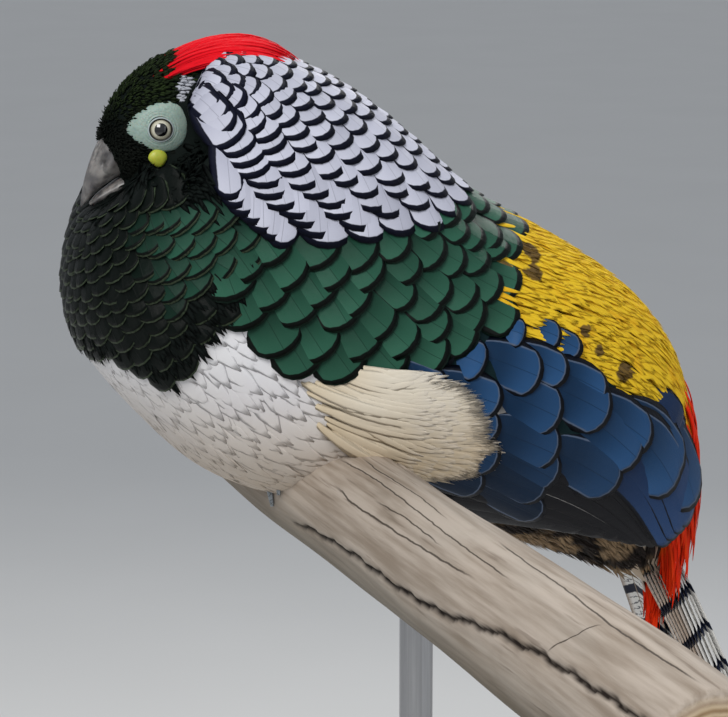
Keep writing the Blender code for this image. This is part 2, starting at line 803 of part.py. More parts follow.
def wing_core():
    """The folded wing's own thickness, a plate on the side of the trunk."""
    rows, columns = 11, 6
    outer, inner = [], []
    for i in range(rows):
        u = 6.45 + 5.05 * i / (rows - 1)
        upper = np.interp(u, *zip(*WING_UPPER))
        lower = np.interp(u, *zip(*WING_LOWER))
        for j in range(columns):
            v = math.radians(upper + (lower - upper) * j / (columns - 1))
            p = BODY.point(u, v)
            normal = BODY.slopes(u, v)[2]
            outer.append(p + normal * wing_height(u, v))
            inner.append(p - normal * 2.5 * MM)
    points = outer + inner
    count = rows * columns
    faces = []
    for i in range(rows - 1):
        for j in range(columns - 1):
            a = i * columns + j
            quad = (a, a + 1, a + columns + 1, a + columns)
            faces.append(quad)
            faces.append(tuple(count + k for k in reversed(quad)))
    rim = [j for j in range(columns)]
    rim += [i * columns + columns - 1 for i in range(1, rows)]
    rim += [(rows - 1) * columns + j for j in range(columns - 2, -1, -1)]
    rim += [i * columns for i in range(rows - 2, 0, -1)]
    for a, b in zip(rim, rim[1:] + rim[:1]):
        faces.append((a, b, count + b, count + a))
    return new_object("wing_core", points, faces)


PRIMARY_LIE = ((0.0, -1.4), (0.4, 0.4), (1.0, 0.8))

# The wing's feathers: tip ring place, tip angle, heading, length and width in mm, shape, lie, roll
WING_FEATHERS = (
    # coverts in tiers
    *((8.05 - 0.05 * i, 68 + 17 * i, 2 - 2 * i, 26, 20, round_tip, LIE, 0) for i in range(3)),
    *((8.80 - 0.05 * i, 61 + 17 * i, 2 - 2 * i, 34, 20, round_tip, LIE, 0) for i in range(4)),
    *((9.55 - 0.05 * i, 68 + 18 * i, 2 - 2 * i, 38, 21, round_tip, LIE, 0) for i in range(4)),
    *((10.3 - 0.05 * i, 61 + 18 * i, 2 - 2 * i, 42, 20, round_tip, LIE, 0) for i in range(4)),
    # secondaries
    *((11.35 - 0.14 * i, 56 + 9.5 * i, 2 - 3 * i, 56, 15, plume_tip, LIE, 8) for i in range(5)),
    # primaries
    *((11.75 - 0.36 * i, 84 + 8.5 * i, -2 - 3 * i, 60, 12, plume_tip, PRIMARY_LIE, 8) for i in range(4)),
)


def make_wing(flesh):
    """The left wing, folded on the side of the trunk, with its feathers in tiers."""
    pieces = [wing_core()]
    for u, v, heading, length, width, shape, lie, roll in WING_FEATHERS:
        pieces.append(
            laid_vane(BODY, (u, math.radians(v)), math.radians(heading), length * MM, width * MM,
                      shape, lie=lie, lift=wing_height, roll=roll)
        )
    wing = join("wing_left", pieces)
    cut(wing, swollen(flesh, GAP))
    for near in (*mantle_vanes(rows=(0,)), *covert_vanes(), *plume_vanes(signs=(1,))):
        cut(wing, swollen(near, GAP))
        bpy.data.objects.remove(near)
    keep_largest(wing)
    return wing


def tail_line(t, length):
    """A point of the tail's centre line in the mid plane, t from root to tip, with the way it runs."""
    bend = math.radians(64 + 9 * t)
    start = Vector((163 * MM, 0, -66 * MM))
    mean = math.radians(64 + 4.5 * t)
    run = length * t
    point = start + Vector((math.cos(mean) * run, 0, -math.sin(mean) * run))
    return point, Vector((math.cos(bend), 0, -math.sin(bend)))


def make_tail(flesh):
    """The tail: a root, nine graduated pairs of feathers with the long pair on top, and the red coverts."""
    root = ball("tail_root", (167 * MM, 0, -76 * MM), (21 * MM, 13 * MM, 12 * MM), turn=math.radians(64), fine=12)
    pieces = [root]
    for pair in range(9):
        length = TAIL_LENGTH * (1.0, 0.66, 0.50, 0.40, 0.33, 0.275, 0.235, 0.2, 0.175)[pair]
        stations = 7 if pair == 0 else 4
        for sign in (1, -1):
            trail, sideways, widths = [], [], []
            for k in range(stations):
                t = k / (stations - 1)
                point, way = tail_line(t, length)
                over = Vector((-way.z, 0, way.x))
                over = over if over.x > 0 else -over
                out = (3.2 + 1.1 * pair) * sign * MM * min(1.0, 0.35 + 2.2 * t) + sign * pair * 2.2 * MM * t
                level = (9.5 - 2.2 * pair) * MM
                trail.append((point + over * level + Vector((0, out, 0)),
                              (over + Vector((0, 0.30 * sign, 0))).normalized()))
                sideways.append(way.cross(trail[-1][1]).normalized())
                tip = 1.0 - 0.88 * max(0.0, t - 0.55) / 0.45
                widths.append((24 - 1.0 * pair) * MM * min(1.0, 0.3 + 2.4 * t) * tip)
            pieces.append(vane(trail, sideways, widths, thickness=1.1 * MM, camber=0.0 if pair else 0.08))
    for row, count in ((0, 5), (1, 6)):
        for i in range(count):
            share = (i - (count - 1) / 2) / 2.5
            trail, sideways, widths = [], [], []
            for k in range(4):
                t = k / 3
                point, way = tail_line(t, (98 - 18 * row - 9 * abs(share)) * MM)
                over = Vector((-way.z, 0, way.x))
                over = over if over.x > 0 else -over
                normal = (over + Vector((0, -1.1 * share, 0))).normalized()
                height = (8.0 + (4.0 + 1.6 * row) * min(1.0, 3 * t) - 2.5 * abs(share)) * MM
                trail.append((point + over * height + Vector((0, -9.0 * share * (0.6 + 0.5 * t) * MM, 0)), normal))
                sideways.append(way.cross(normal).normalized())
                widths.append(8.5 * MM * lance_tip(t))
            pieces.append(vane(trail, sideways, widths, thickness=1.1 * MM))
    tail = join("tail", pieces)
    cut(tail, swollen(flesh, GAP))
    keep_largest(tail)
    return tail


FEET_Y = 21 * MM
TOE_SPREAD = (-13, 0, 13)


def around_log(angle, radius, y):
    """A point at an angle round the log: 90 degrees is its top and 180 its front."""
    turn = math.radians(angle)
    return Vector((radius * math.cos(turn), y, -LOG_RADIUS + radius * math.sin(turn)))


def make_leg(name, y):
    """A foot that grips the log, with its claws and the foot of the shank."""
    pieces = [ball("pad", around_log(92, LOG_RADIUS + 4.2 * MM, y), (6.5 * MM, 5.5 * MM, 3.6 * MM), fine=10)]
    for spread in TOE_SPREAD:
        path, radii = [], []
        reach = 96 if spread == 0 else 80
        for k in range(6):
            t = k / 5
            thick = 3.4 - 1.2 * t if t < 0.72 else 2.3 - 5.2 * (t - 0.72)
            path.append(around_log(96 + reach * t, LOG_RADIUS + (thick + 0.5) * MM, y + spread * t * MM * 0.85))
            radii.append(thick * MM)
        pieces.append(tube("toe", path, radii, 5))
    path = [around_log(88 - 48 * k / 5, LOG_RADIUS + (3.2 - 0.3 * k + 0.5) * MM, y) for k in range(6)]
    pieces.append(tube("hind_toe", path, [(3.0 - 0.42 * k) * MM for k in range(6)], 5))
    shank = [around_log(82, LOG_RADIUS + r * MM, y) for r in (3.0, 6.5, 12.0)]
    pieces.append(tube("shank", shank, [4.2 * MM, 4.0 * MM, 4.0 * MM], 7))
    return join(name, pieces)


def make_stand():
    """The flat base and the single rod under the log."""
    width, depth, height = BASE_SIZE
    base = primitive("stand_base", bmesh.ops.create_cube, size=1.0)
    for vertex in base.data.vertices:
        vertex.co = (vertex.co.x * width, vertex.co.y * depth, (vertex.co.z + 0.5) * height)
    bevel = base.modifiers.new("edges", "BEVEL")
    bevel.width = 4 * MM
    bevel.segments = 2
    bake(base)
    length = PERCH_TOP - LOG_RADIUS - height - GAP
    rod = primitive(
        "stand_rod", bmesh.ops.create_cone, cap_ends=True, segments=20,
        radius1=ROD_RADIUS, radius2=ROD_RADIUS, depth=length,
    )
    for vertex in rod.data.vertices:
        vertex.co.z += height + GAP + length / 2
    return base, rod


def main():
    """Builds every node."""
    for obj in list(bpy.data.objects):
        bpy.data.objects.remove(obj)

    log = make_log()
    flesh = make_flesh()
    head, eye_centre = make_head(flesh)
    eye_left, eye_right = make_eyes(eye_centre)
    bill_upper, bill_lower = make_bill()
    for half in (bill_upper, bill_lower):
        cut(head, swollen(half, GAP))
    keep_largest(head)
    torso = make_torso(flesh)
    neck = make_neck(flesh)
    wing_left = make_wing(flesh)
    wing_right = mirrored(wing_left, "wing_right")
    tail = make_tail(flesh)
    for near in covert_vanes():
        cut(tail, swollen(near, GAP))
        bpy.data.objects.remove(near)
    keep_largest(tail)

    cut(torso, swollen(log, GAP))
    shank_reach = LOG_RADIUS + 9 * MM
    for y in (-FEET_Y, FEET_Y):
        cut(torso, drum("pocket", (0.0, -LOG_RADIUS), shank_reach, y - 15 * MM, y + 15 * MM))
    keep_largest(torso)
    legs = []
    for name, y in (("leg_left", -FEET_Y), ("leg_right", FEET_Y)):
        leg = make_leg(name, y)
        cut(leg, drum("room", (0.0, -LOG_RADIUS), shank_reach - GAP, y - 60 * MM, y + 60 * MM), "INTERSECT")
        cut(leg, swollen(log, GAP))
        keep_largest(leg)
        legs.append(leg)
    bpy.data.objects.remove(flesh)

    feather_white, dark_green = (0.80, 0.80, 0.82), (0.02, 0.09, 0.06)
    perched = [
        finish_piece(head, "head", (0.02, 0.03, 0.02), 0.6),
        finish_piece(neck, "neck", feather_white, 0.55),
        finish_piece(torso, "torso", (0.82, 0.78, 0.70), 0.7),
        finish_piece(wing_left, "wing_left", (0.03, 0.10, 0.24), 0.45),
        finish_piece(wing_right, "wing_right", (0.03, 0.10, 0.24), 0.45),
        finish_piece(tail, "tail", (0.75, 0.75, 0.74), 0.6),
        finish_piece(bill_upper, "bill_upper", (0.42, 0.42, 0.40), 0.35),
        finish_piece(bill_lower, "bill_lower", (0.42, 0.42, 0.40), 0.35),
        finish_piece(eye_left, "eye_left", (0.75, 0.72, 0.55), 0.05),
        finish_piece(eye_right, "eye_right", (0.75, 0.72, 0.55), 0.05),
        finish_piece(legs[0], "leg_left", (0.30, 0.32, 0.34), 0.5),
        finish_piece(legs[1], "leg_right", (0.30, 0.32, 0.34), 0.5),
        finish_piece(log, "perch_log", (0.48, 0.40, 0.31), 0.85),
    ]
    base, rod = make_stand()
    for obj in perched:
        obj.location = (0.0, SITS_AT_Y, PERCH_TOP)
    saddle = swollen(log, GAP)
    saddle.location = (0.0, SITS_AT_Y, PERCH_TOP)
    cut(rod, saddle)
    finish_piece(base, "stand_base", (0.10, 0.06, 0.035), 0.4)
    finish_piece(rod, "stand_rod", (0.35, 0.35, 0.36), 0.3, metallic=1.0)

    home = bpy.data.collections.new("lady_amhersts_pheasant")
    bpy.context.scene.collection.children.link(home)
    for obj in (*perched, base, rod):
        home.objects.link(obj)
        bpy.context.scene.collection.objects.unlink(obj)


main()
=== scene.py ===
"""Looks of the Lady Amherst's pheasant model: skin, plumage, bare parts, log, stand, light and camera.

The bird is worked out about the point where it sits, on top of the log, facing -X with its left side
towards -Y. PERCH carries that point to its place over the stand. Angles round the body run from 0 on the
back to 180 degrees on the belly, positive on the left side, and ring places count the rings of a loft.
"""

import logging
import math
from dataclasses import dataclass, field, fields
from enum import Enum
from typing import Callable, Iterable, Sequence

import bmesh
import bpy
import numpy as np
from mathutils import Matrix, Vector


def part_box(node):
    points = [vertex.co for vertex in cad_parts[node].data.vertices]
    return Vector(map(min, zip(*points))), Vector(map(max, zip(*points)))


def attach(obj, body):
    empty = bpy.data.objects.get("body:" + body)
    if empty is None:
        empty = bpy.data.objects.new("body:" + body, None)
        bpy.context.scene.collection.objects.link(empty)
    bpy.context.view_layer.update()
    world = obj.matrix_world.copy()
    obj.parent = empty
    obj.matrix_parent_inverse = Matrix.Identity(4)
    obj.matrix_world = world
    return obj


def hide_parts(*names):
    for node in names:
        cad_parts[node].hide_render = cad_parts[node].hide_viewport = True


log = logging.getLogger("pheasant")

Colour = tuple[float, float, float]
Line = Sequence[tuple[float, float]]

MM = 0.001
PERCH = np.array((0.0, 130.0, 926.0)) * MM
LOG_RADIUS = 26.5 * MM

BODY_RINGS = (
    ((-54, 152), (-82, 118), 14), ((-50, 170), (-104, 100), 33), ((-31, 173), (-112, 78), 46),
    ((-11, 165), (-112, 56), 57), ((15, 151), (-104, 36), 65), ((41, 131), (-84, 11), 70),
    ((72, 104), (-57, -15), 73), ((100, 87), (-22, -31), 73), ((127, 71), (12, -38), 70),
    ((152, 52), (50, -47), 63), ((173, 26), (92, -60), 53), ((184, -8), (122, -71), 41),
    ((186, -38), (142, -80), 29), ((180, -62), (154, -86), 17),
)
HEAD_RINGS = (
    ((-40, 160), (-36, 122), 15), ((-50, 169), (-44, 114), 19), ((-66, 170), (-54, 110), 20.5),
    ((-80, 163), (-65, 108), 20), ((-90, 153), (-75, 109), 17.5), ((-96, 141), (-84, 112), 13.5),
    ((-98, 133), (-90, 116), 8.5),
)
CAPE_EDGE = ((0, 5.97), (20, 5.88), (40, 5.62), (60, 5.2), (72, 4.8), (82, 4.1), (96, 3.3), (104, 2.9))
MANTLE_EDGE = ((0, 6.9), (30, 6.85), (45, 6.95), (58, 7.25), (64, 6.95), (80, 6.6), (86, 6.3), (94, 5.9), (104, 5.4))
FLANK_FAN = ((6.75, 84), (7.1, 82), (7.45, 85), (7.75, 90), (7.95, 94), (8.25, 99), (8.4, 105), (8.3, 112), (7.9, 117))
BREAST_TOP = ((84, 3.4), (86, 3.2), (90, 2.7), (94, 2.3), (104, 1.75), (118, 1.25), (150, 1.02), (180, 1.08))
BREAST_EDGE = (
    (96, 4.2), (106, 4.35), (118, 4.48), (130, 4.6), (138, 4.65), (142, 4.42), (146, 4.2), (154, 4.02),
    (162, 3.95), (180, 3.7),
)
CAPE_FRONT = ((0.3, 50), (0.75, 54), (1.3, 66), (1.85, 75), (2.25, 79), (2.65, 81), (3.4, 84), (4.2, 84))
BELLY_TOP = ((4.2, 100), (5.6, 100), (6.5, 97), (7.5, 103), (9.0, 119), (10.0, 122), (11.0, 112), (12.0, 100))
WING_UPPER = ((6.45, 85), (6.7, 80), (7.05, 72), (7.4, 62), (8.35, 60), (9.45, 64), (10.4, 62), (11.0, 60), (11.5, 64))
WING_LOWER = ((6.45, 94), (6.7, 100), (7.5, 108), (8.5, 116), (9.1, 124), (10.0, 126), (10.9, 116), (11.3, 96),
              (11.5, 72))
WING_RISE = ((6.45, 1.3), (7.0, 2.0), (7.6, 3.0), (9.0, 5.4), (10.5, 7.4), (11.5, 8.2))
CREST_LINE = ((-74, 162.5), (-63, 170.0), (-49, 174.3), (-35, 175.8), (-22, 173.0), (-11, 167.2), (-1, 160.8))
WING_SCALES = (
    (6.7, 66, 14, 24), (6.75, 76, 16, 26), (7.05, 60, 15, 24), (7.4, 61, 17, 27), (7.95, 57, 17, 30),
    (7.15, 74, 22, 32), (6.95, 86, 20, 30), (7.95, 72, 25, 34), (8.3, 68, 20, 32), (8.35, 58, 16, 32),
    (7.7, 84, 22, 34), (7.4, 96, 20, 32), (8.6, 82, 26, 38), (9.2, 74, 28, 42), (9.0, 68, 20, 36),
    (8.0, 93, 19, 34), (8.95, 94, 26, 42), (8.35, 104, 22, 38), (9.95, 82, 30, 48), (9.95, 74, 26, 44),
    (9.2, 103, 25, 44), (9.25, 111, 22, 44), (8.5, 116, 20, 38), (10.85, 77, 32, 54), (10.8, 70, 28, 50),
    (9.95, 95, 28, 50), (9.5, 121, 20, 44), (11.6, 66, 32, 58), (11.7, 60, 26, 54),
)
# LOG_HAIRLINES and LOG_CROSS: fine cracks that the log's material draws as lines of painted shade
LOG_HAIRLINES = (
    (0.55, ((-240, 133), (-191, 137), (-153, 139), (-109, 141), (-80, 136))),
    (0.50, ((-260, 116), (-194, 114), (-150, 112), (-107, 110), (-60, 113))),
    (0.60, ((-400, 97), (-330, 99), (-275, 92), (-210, 86))),
    (0.45, ((-200, 126), (-160, 124), (-122, 128))),
    (0.45, ((-180, 101), (-140, 98), (-90, 100), (-70, 97))),
)
LOG_CROSS = ((102, -327), (122, -323), (148, -314))
# LOG_CRACKS: cracks cut into the log's mesh, with painted shade inside them
LOG_CRACKS = (
    (1.25, ((-40, 198), (-76, 190), (-126, 183), (-181, 180), (-224, 174), (-268, 160), (-308, 152), (-400, 145))),
    (1.0, ((95, 62), (30, 70), (-40, 66), (-110, 60))),
    (0.8, ((-20, 300), (-120, 306), (-210, 298), (-320, 309))),
    (0.7, ((100, 160), (60, 168), (10, 160))),
)
RUMP_SPOTS = (
    ((89.4, 37.8, 79.5), 6.5), ((87.8, 46.3, 71.5), 5.5), ((71.6, 50.6, 75.1), 6.0), ((70.0, 62.2, 56.2), 5.0),
    ((110.2, 54.2, 44.6), 3.6), ((116.6, 55.3, 35.5), 4.2), ((130.3, 52.9, 23.6), 6.0),
)
EYE_AT = (-76.0, 139.6)
WATTLE_AT = (-77.1, 126.6)
BARE_OUTLINE = (
    (-90.6, 138.7), (-87.6, 143.5), (-82.0, 147.8), (-76.0, 150.4), (-70.4, 150.8), (-67.0, 148.6),
    (-64.8, 143.9), (-64.4, 138.7), (-65.7, 133.6), (-69.1, 130.1), (-74.3, 129.3), (-79.4, 130.1),
    (-83.7, 132.3), (-87.6, 135.3),
)
FACE_HOLLOWS = (((-76.5, 140.0), 13.0, 20.0), ((-78.5, 127.5), 6.5, 11.5))
HOLLOW_DEPTHS = (13.0, 45.0)
TAIL_LENGTH = 850 * MM
TAIL_SHARES = (1.0, 0.66, 0.50, 0.40, 0.33, 0.275, 0.235, 0.2, 0.175)
RUMP_EDGE = ((6.9, 50), (8, 62), (11, 60), (12.4, 74), (13, 90))
BILL_UPPER_RINGS = (
    ((-91, 140), (-81, 120), 9.0), ((-95.5, 136.5), (-84.5, 118.9), 8.3), ((-99.2, 131.5), (-89.5, 117.2), 7.0),
    ((-102.4, 124.5), (-95.5, 114.0), 5.3), ((-105.0, 116.5), (-100.3, 110.4), 3.7),
    ((-106.5, 109.8), (-103.8, 106.8), 2.0), ((-107.2, 104.9), (-106.4, 104.2), 0.6),
)
BILL_LOWER_RINGS = (
    ((-80, 119.3), (-82, 111.5), 7.6), ((-84, 118.3), (-85, 110.4), 6.9), ((-89.5, 116.4), (-89.2, 109.2), 5.8),
    ((-95.0, 113.0), (-94, 107.6), 4.3), ((-99.9, 109.5), (-99, 105.7), 2.9),
    ((-103.2, 106.0), (-102.9, 104.7), 1.2),
)
NOSTRIL_AT = (-97.6, 6.2, 124.3)
EYE_RADIUS = 6.35
LID_RADIUS = 5.0
CAMERA_AT = (-0.41160, -1.19711, 0.29806)
CAMERA_AIM = (0.02331, -0.00220, 0.02777)
CAMERA_LENS, CAMERA_SENSOR = 141.29, 36.0
FLOOR_REACH = 40.0
LAMP_AIM = (0.03, 0.0, 0.05)


def read_line(line: Line, x: np.ndarray) -> np.ndarray:
    """Read a line of (x, y) pairs at places x.

    Args:
        line: the pairs, in rising x.
        x: where to read it.

    Returns:
        The values at x.
    """
    xs, ys = zip(*line)
    return np.interp(x, xs, ys)


def blend(table: np.ndarray, place: np.ndarray) -> np.ndarray:
    """Run a smooth curve through evenly spaced rows of a table.

    Args:
        table: the rows.
        place: places from 0 to the last row, and a little past them.

    Returns:
        One row for each place.
    """
    last = len(table) - 1
    padded = np.vstack([2 * table[0] - table[1], table, 2 * table[-1] - table[-2]])
    i = np.clip(place.astype(int), 0, last - 1)
    t = (place - i)[:, None]
    a, b, c, d = (padded[i + k] for k in range(4))
    return 0.5 * (2 * b + t * (c - a) + t**2 * (2 * a - 5 * b + 4 * c - d) + t**3 * (3 * (b - c) + d - a))


def unit(ways: np.ndarray) -> np.ndarray:
    """Scale vectors to length one."""
    return ways / np.maximum(np.linalg.norm(ways, axis=-1, keepdims=True), 1e-12)


def beside(*values: object) -> np.ndarray:
    """Stand arrays and constants side by side."""
    return np.stack(np.broadcast_arrays(*values), axis=1)


def vectors(items: bpy.types.bpy_prop_collection, name: str) -> np.ndarray:
    """Read one vector of every item of a mesh."""
    values = np.empty(len(items) * 3)
    items.foreach_get(name, values)
    return values.reshape(-1, 3)


class Form:
    """A closed form lofted through rings that stand across the bird's mid plane."""

    def __init__(self, rings: Sequence[tuple], low: float = 0.12) -> None:
        """Keep the rings.

        Args:
            rings: for each ring its back point, its belly point and its half width, in millimetres.
            low: how far below the middle the widest level lies.
        """
        self.table = np.array([(*back, *belly, wide) for back, belly, wide in rings]) * MM
        self.low = low
        self.last = len(rings) - 1
        self.facing = 1.0 if rings[-1][0][0] > rings[0][0][0] else -1.0

    def at(self, u: np.ndarray, v: np.ndarray) -> np.ndarray:
        """Points at ring places u and angles v in radians, about the perch point.

        Args:
            u: ring places.
            v: angles in radians.

        Returns:
            The points, in metres.
        """
        rows = blend(self.table, np.asarray(u, float))
        across = np.cos(v) - self.low * np.sin(v) ** 2
        x = (rows[:, 0] + rows[:, 2]) / 2 + (rows[:, 0] - rows[:, 2]) / 2 * across
        z = (rows[:, 1] + rows[:, 3]) / 2 + (rows[:, 1] - rows[:, 3]) / 2 * across
        return beside(x, -rows[:, 4] * np.sin(v), z)

    def slopes(self, u: np.ndarray, v: np.ndarray) -> tuple[np.ndarray, np.ndarray, np.ndarray]:
        """The tangents along and around the form and its outward normal.

        Args:
            u: ring places.
            v: angles in radians.

        Returns:
            Both tangents and the normal.
        """
        step = 0.02
        along = (self.at(u + step, v) - self.at(u - step, v)) / (2 * step)
        around = (self.at(u, v + step) - self.at(u, v - step)) / (2 * step)
        return along, around, unit(np.cross(around, along)) * self.facing

    def move(self, u: np.ndarray, v: np.ndarray, heading: np.ndarray, reach: np.ndarray,
             steps: int = 6) -> tuple[np.ndarray, np.ndarray]:
        """Walk over the form.

        Args:
            u: ring places to start from.
            v: angles to start from.
            heading: 0 runs tailwards, positive turns to the belly.
            reach: how far to walk, in metres, backwards where it is negative.
            steps: how many steps to take.

        Returns:
            The ring places and angles reached.
        """
        u, v = np.array(u, float), np.array(v, float)
        sign = np.where(v >= 0, 1.0, -1.0)[:, None]
        for _ in range(steps):
            along, around, _ = self.slopes(u, v)
            ahead = unit(along)
            down = unit(around - ahead * np.sum(around * ahead, axis=1, keepdims=True)) * sign
            way = (ahead * np.cos(heading)[:, None] + down * np.sin(heading)[:, None]) * (reach / steps)[:, None]
            a, b, c = (np.sum(p * q, axis=1) for p, q in ((along, along), (along, around), (around, around)))
            p, q = np.sum(way * along, axis=1), np.sum(way * around, axis=1)
            u = np.clip(u + (p * c - q * b) / (a * c - b * b), 0.02, self.last + 0.6)
            v = v + (q * a - p * b) / (a * c - b * b)
        return u, v


BODY = Form(BODY_RINGS)
HEAD = Form(HEAD_RINGS, low=0.0)


def on_head(x: np.ndarray, z: np.ndarray) -> tuple[np.ndarray, np.ndarray]:
    """Find the left side of the head at places of the mid plane.

    Args:
        x: places along X, in millimetres about the perch point.
        z: heights, in millimetres.

    Returns:
        The points and their normals.
    """
    x, z = np.atleast_1d(x) * MM, np.atleast_1d(z) * MM
    us, vs = np.meshgrid(np.linspace(0.3, 5.9, 50), np.linspace(0.1, math.pi - 0.1, 40), indexing="ij")
    points = HEAD.at(us.ravel(), vs.ravel())
    best = ((points[:, 0][None] - x[:, None]) ** 2 + (points[:, 2][None] - z[:, None]) ** 2).argmin(axis=1)
    u, v = us.ravel()[best], vs.ravel()[best]
    for _ in range(5):
        here, (along, around, _) = HEAD.at(u, v), HEAD.slopes(u, v)
        gap_x, gap_z = x - here[:, 0], z - here[:, 2]
        area = along[:, 0] * around[:, 2] - around[:, 0] * along[:, 2]
        u = np.clip(u + np.clip((gap_x * around[:, 2] - around[:, 0] * gap_z) / area, -0.3, 0.3), 0.05, 5.97)
        v = np.clip(v + np.clip((along[:, 0] * gap_z - gap_x * along[:, 2]) / area, -0.2, 0.2), 0.03, math.pi - 0.03)
    return HEAD.at(u, v), HEAD.slopes(u, v)[2]


def in_hollow(points: np.ndarray, margin: float = 0.0) -> np.ndarray:
    """Tell which points lie in the hollows of the ruff round the eyes.

    Args:
        points: points about the perch point, in metres.
        margin: how much wider the hollows count, in millimetres.

    Returns:
        True where a point lies in a hollow.
    """
    inside = np.zeros(len(points), bool)
    depth = np.abs(points[:, 1]) / MM
    for (x, z), near, far in FACE_HOLLOWS:
        radius = np.interp(depth, HOLLOW_DEPTHS, (near, far)) + margin
        inside |= (np.hypot(points[:, 0] / MM - x, points[:, 2] / MM - z) < radius) & (depth > HOLLOW_DEPTHS[0])
    return inside


def bare_share(x: np.ndarray, z: np.ndarray) -> np.ndarray:
    """How far places of the head's side are from the eye, 1 on the outline of the bare skin.

    Args:
        x: places along X, in millimetres.
        z: heights, in millimetres.

    Returns:
        The shares.
    """
    middle = np.mean(BARE_OUTLINE, axis=0)
    way = np.array(BARE_OUTLINE) - middle
    angle, size = np.arctan2(way[:, 1], way[:, 0]), np.hypot(way[:, 0], way[:, 1])
    order = angle.argsort()
    reach = np.interp(np.arctan2(z - middle[1], x - middle[0]), angle[order], size[order], period=2 * math.pi)
    return np.hypot(x - middle[0], z - middle[1]) / reach


class Blade(Enum):
    """The outlines that a feather's vane can have: share of the half width at points along it."""

    SCALE = ((0.0, 0.45), (0.3, 0.8), (0.6, 1.0), (1.0, 1.0))
    HAIR = ((0.0, 0.6), (0.4, 1.0), (0.8, 0.6), (1.0, 0.06))
    LANCE = ((0.0, 0.5), (0.35, 1.0), (0.7, 0.85), (1.0, 0.08))
    STRAP = ((0.0, 0.5), (0.15, 1.0), (0.8, 0.95), (1.0, 0.8))
    QUILL = ((0.0, 0.35), (0.06, 0.8), (0.15, 1.0), (0.55, 0.86), (1.0, 0.12))

    def round_end(self) -> float:
        """How much of the length the rounded end takes at the vane's sides."""
        return {Blade.SCALE: 0.34, Blade.STRAP: 0.14, Blade.QUILL: 0.02}.get(self, 0.0)


@dataclass
class Quills:
    """The feathers of one tract, one row for each, before they become mesh."""

    root: np.ndarray
    mid: np.ndarray
    tip: np.ndarray
    across: np.ndarray
    out: np.ndarray
    out_tip: np.ndarray
    lay: np.ndarray
    quill: np.ndarray
    hue: np.ndarray
    patch: np.ndarray

    @staticmethod
    def names() -> list[str]:
        """What is known of each feather."""
        return [item.name for item in fields(Quills)]

    @staticmethod
    def joined(parts: Iterable["Quills"]) -> "Quills":
        """Put several tracts together."""
        parts = list(parts)
        return Quills(*(np.concatenate([getattr(part, name) for part in parts]) for name in Quills.names()))

    def kept(self, keep: np.ndarray) -> "Quills":
        """Keep only some feathers."""
        return Quills(*(getattr(self, name)[keep] for name in self.names()))

    def in_cells(self) -> "Quills":
        """Give every feather its own cell of the bake map, for feathers that carry a pattern."""
        side = math.ceil(math.sqrt(len(self.root)))
        index = np.arange(len(self.root))
        self.patch = beside((index % side + 0.5) / side, (index // side + 0.5) / side, 0.92 / side)
        return self


def quills_through(root: np.ndarray, half: np.ndarray, tip: np.ndarray, side: np.ndarray, out: np.ndarray,
                   out_tip: np.ndarray, width: np.ndarray, camber: float, thickness: float,
                   hue: np.ndarray, chance: np.ndarray, spot: np.ndarray | None = None) -> Quills:
    """Make feathers from points that they run through.

    Args:
        root: where they start.
        half: where they are half way.
        tip: where they end.
        side: their sideways directions.
        out: the directions that their upper faces look, at the root.
        out_tip: the same at the tip.
        width: full widths in metres.
        camber: drop of the vane's edges as a share of its half width.
        thickness: of the vane's middle, in metres.
        hue: three values for each that its material reads.
        chance: one random value for each.
        spot: places on the bake map.

    Returns:
        The feathers.
    """
    count = len(root)
    length = np.linalg.norm(half - root, axis=1) + np.linalg.norm(tip - half, axis=1)
    lay = beside(camber * width / 2, thickness, chance)
    quill = beside(width / 2 / MM, length / MM, chance)
    patch = np.zeros((count, 3)) if spot is None else np.concatenate([spot, np.full((count, 1), 0.003)], axis=1)
    return Quills(root, 2 * half - (root + tip) / 2, tip, unit(side) * (width / 2)[:, None], unit(out),
                  unit(out_tip), lay, quill, hue, patch)


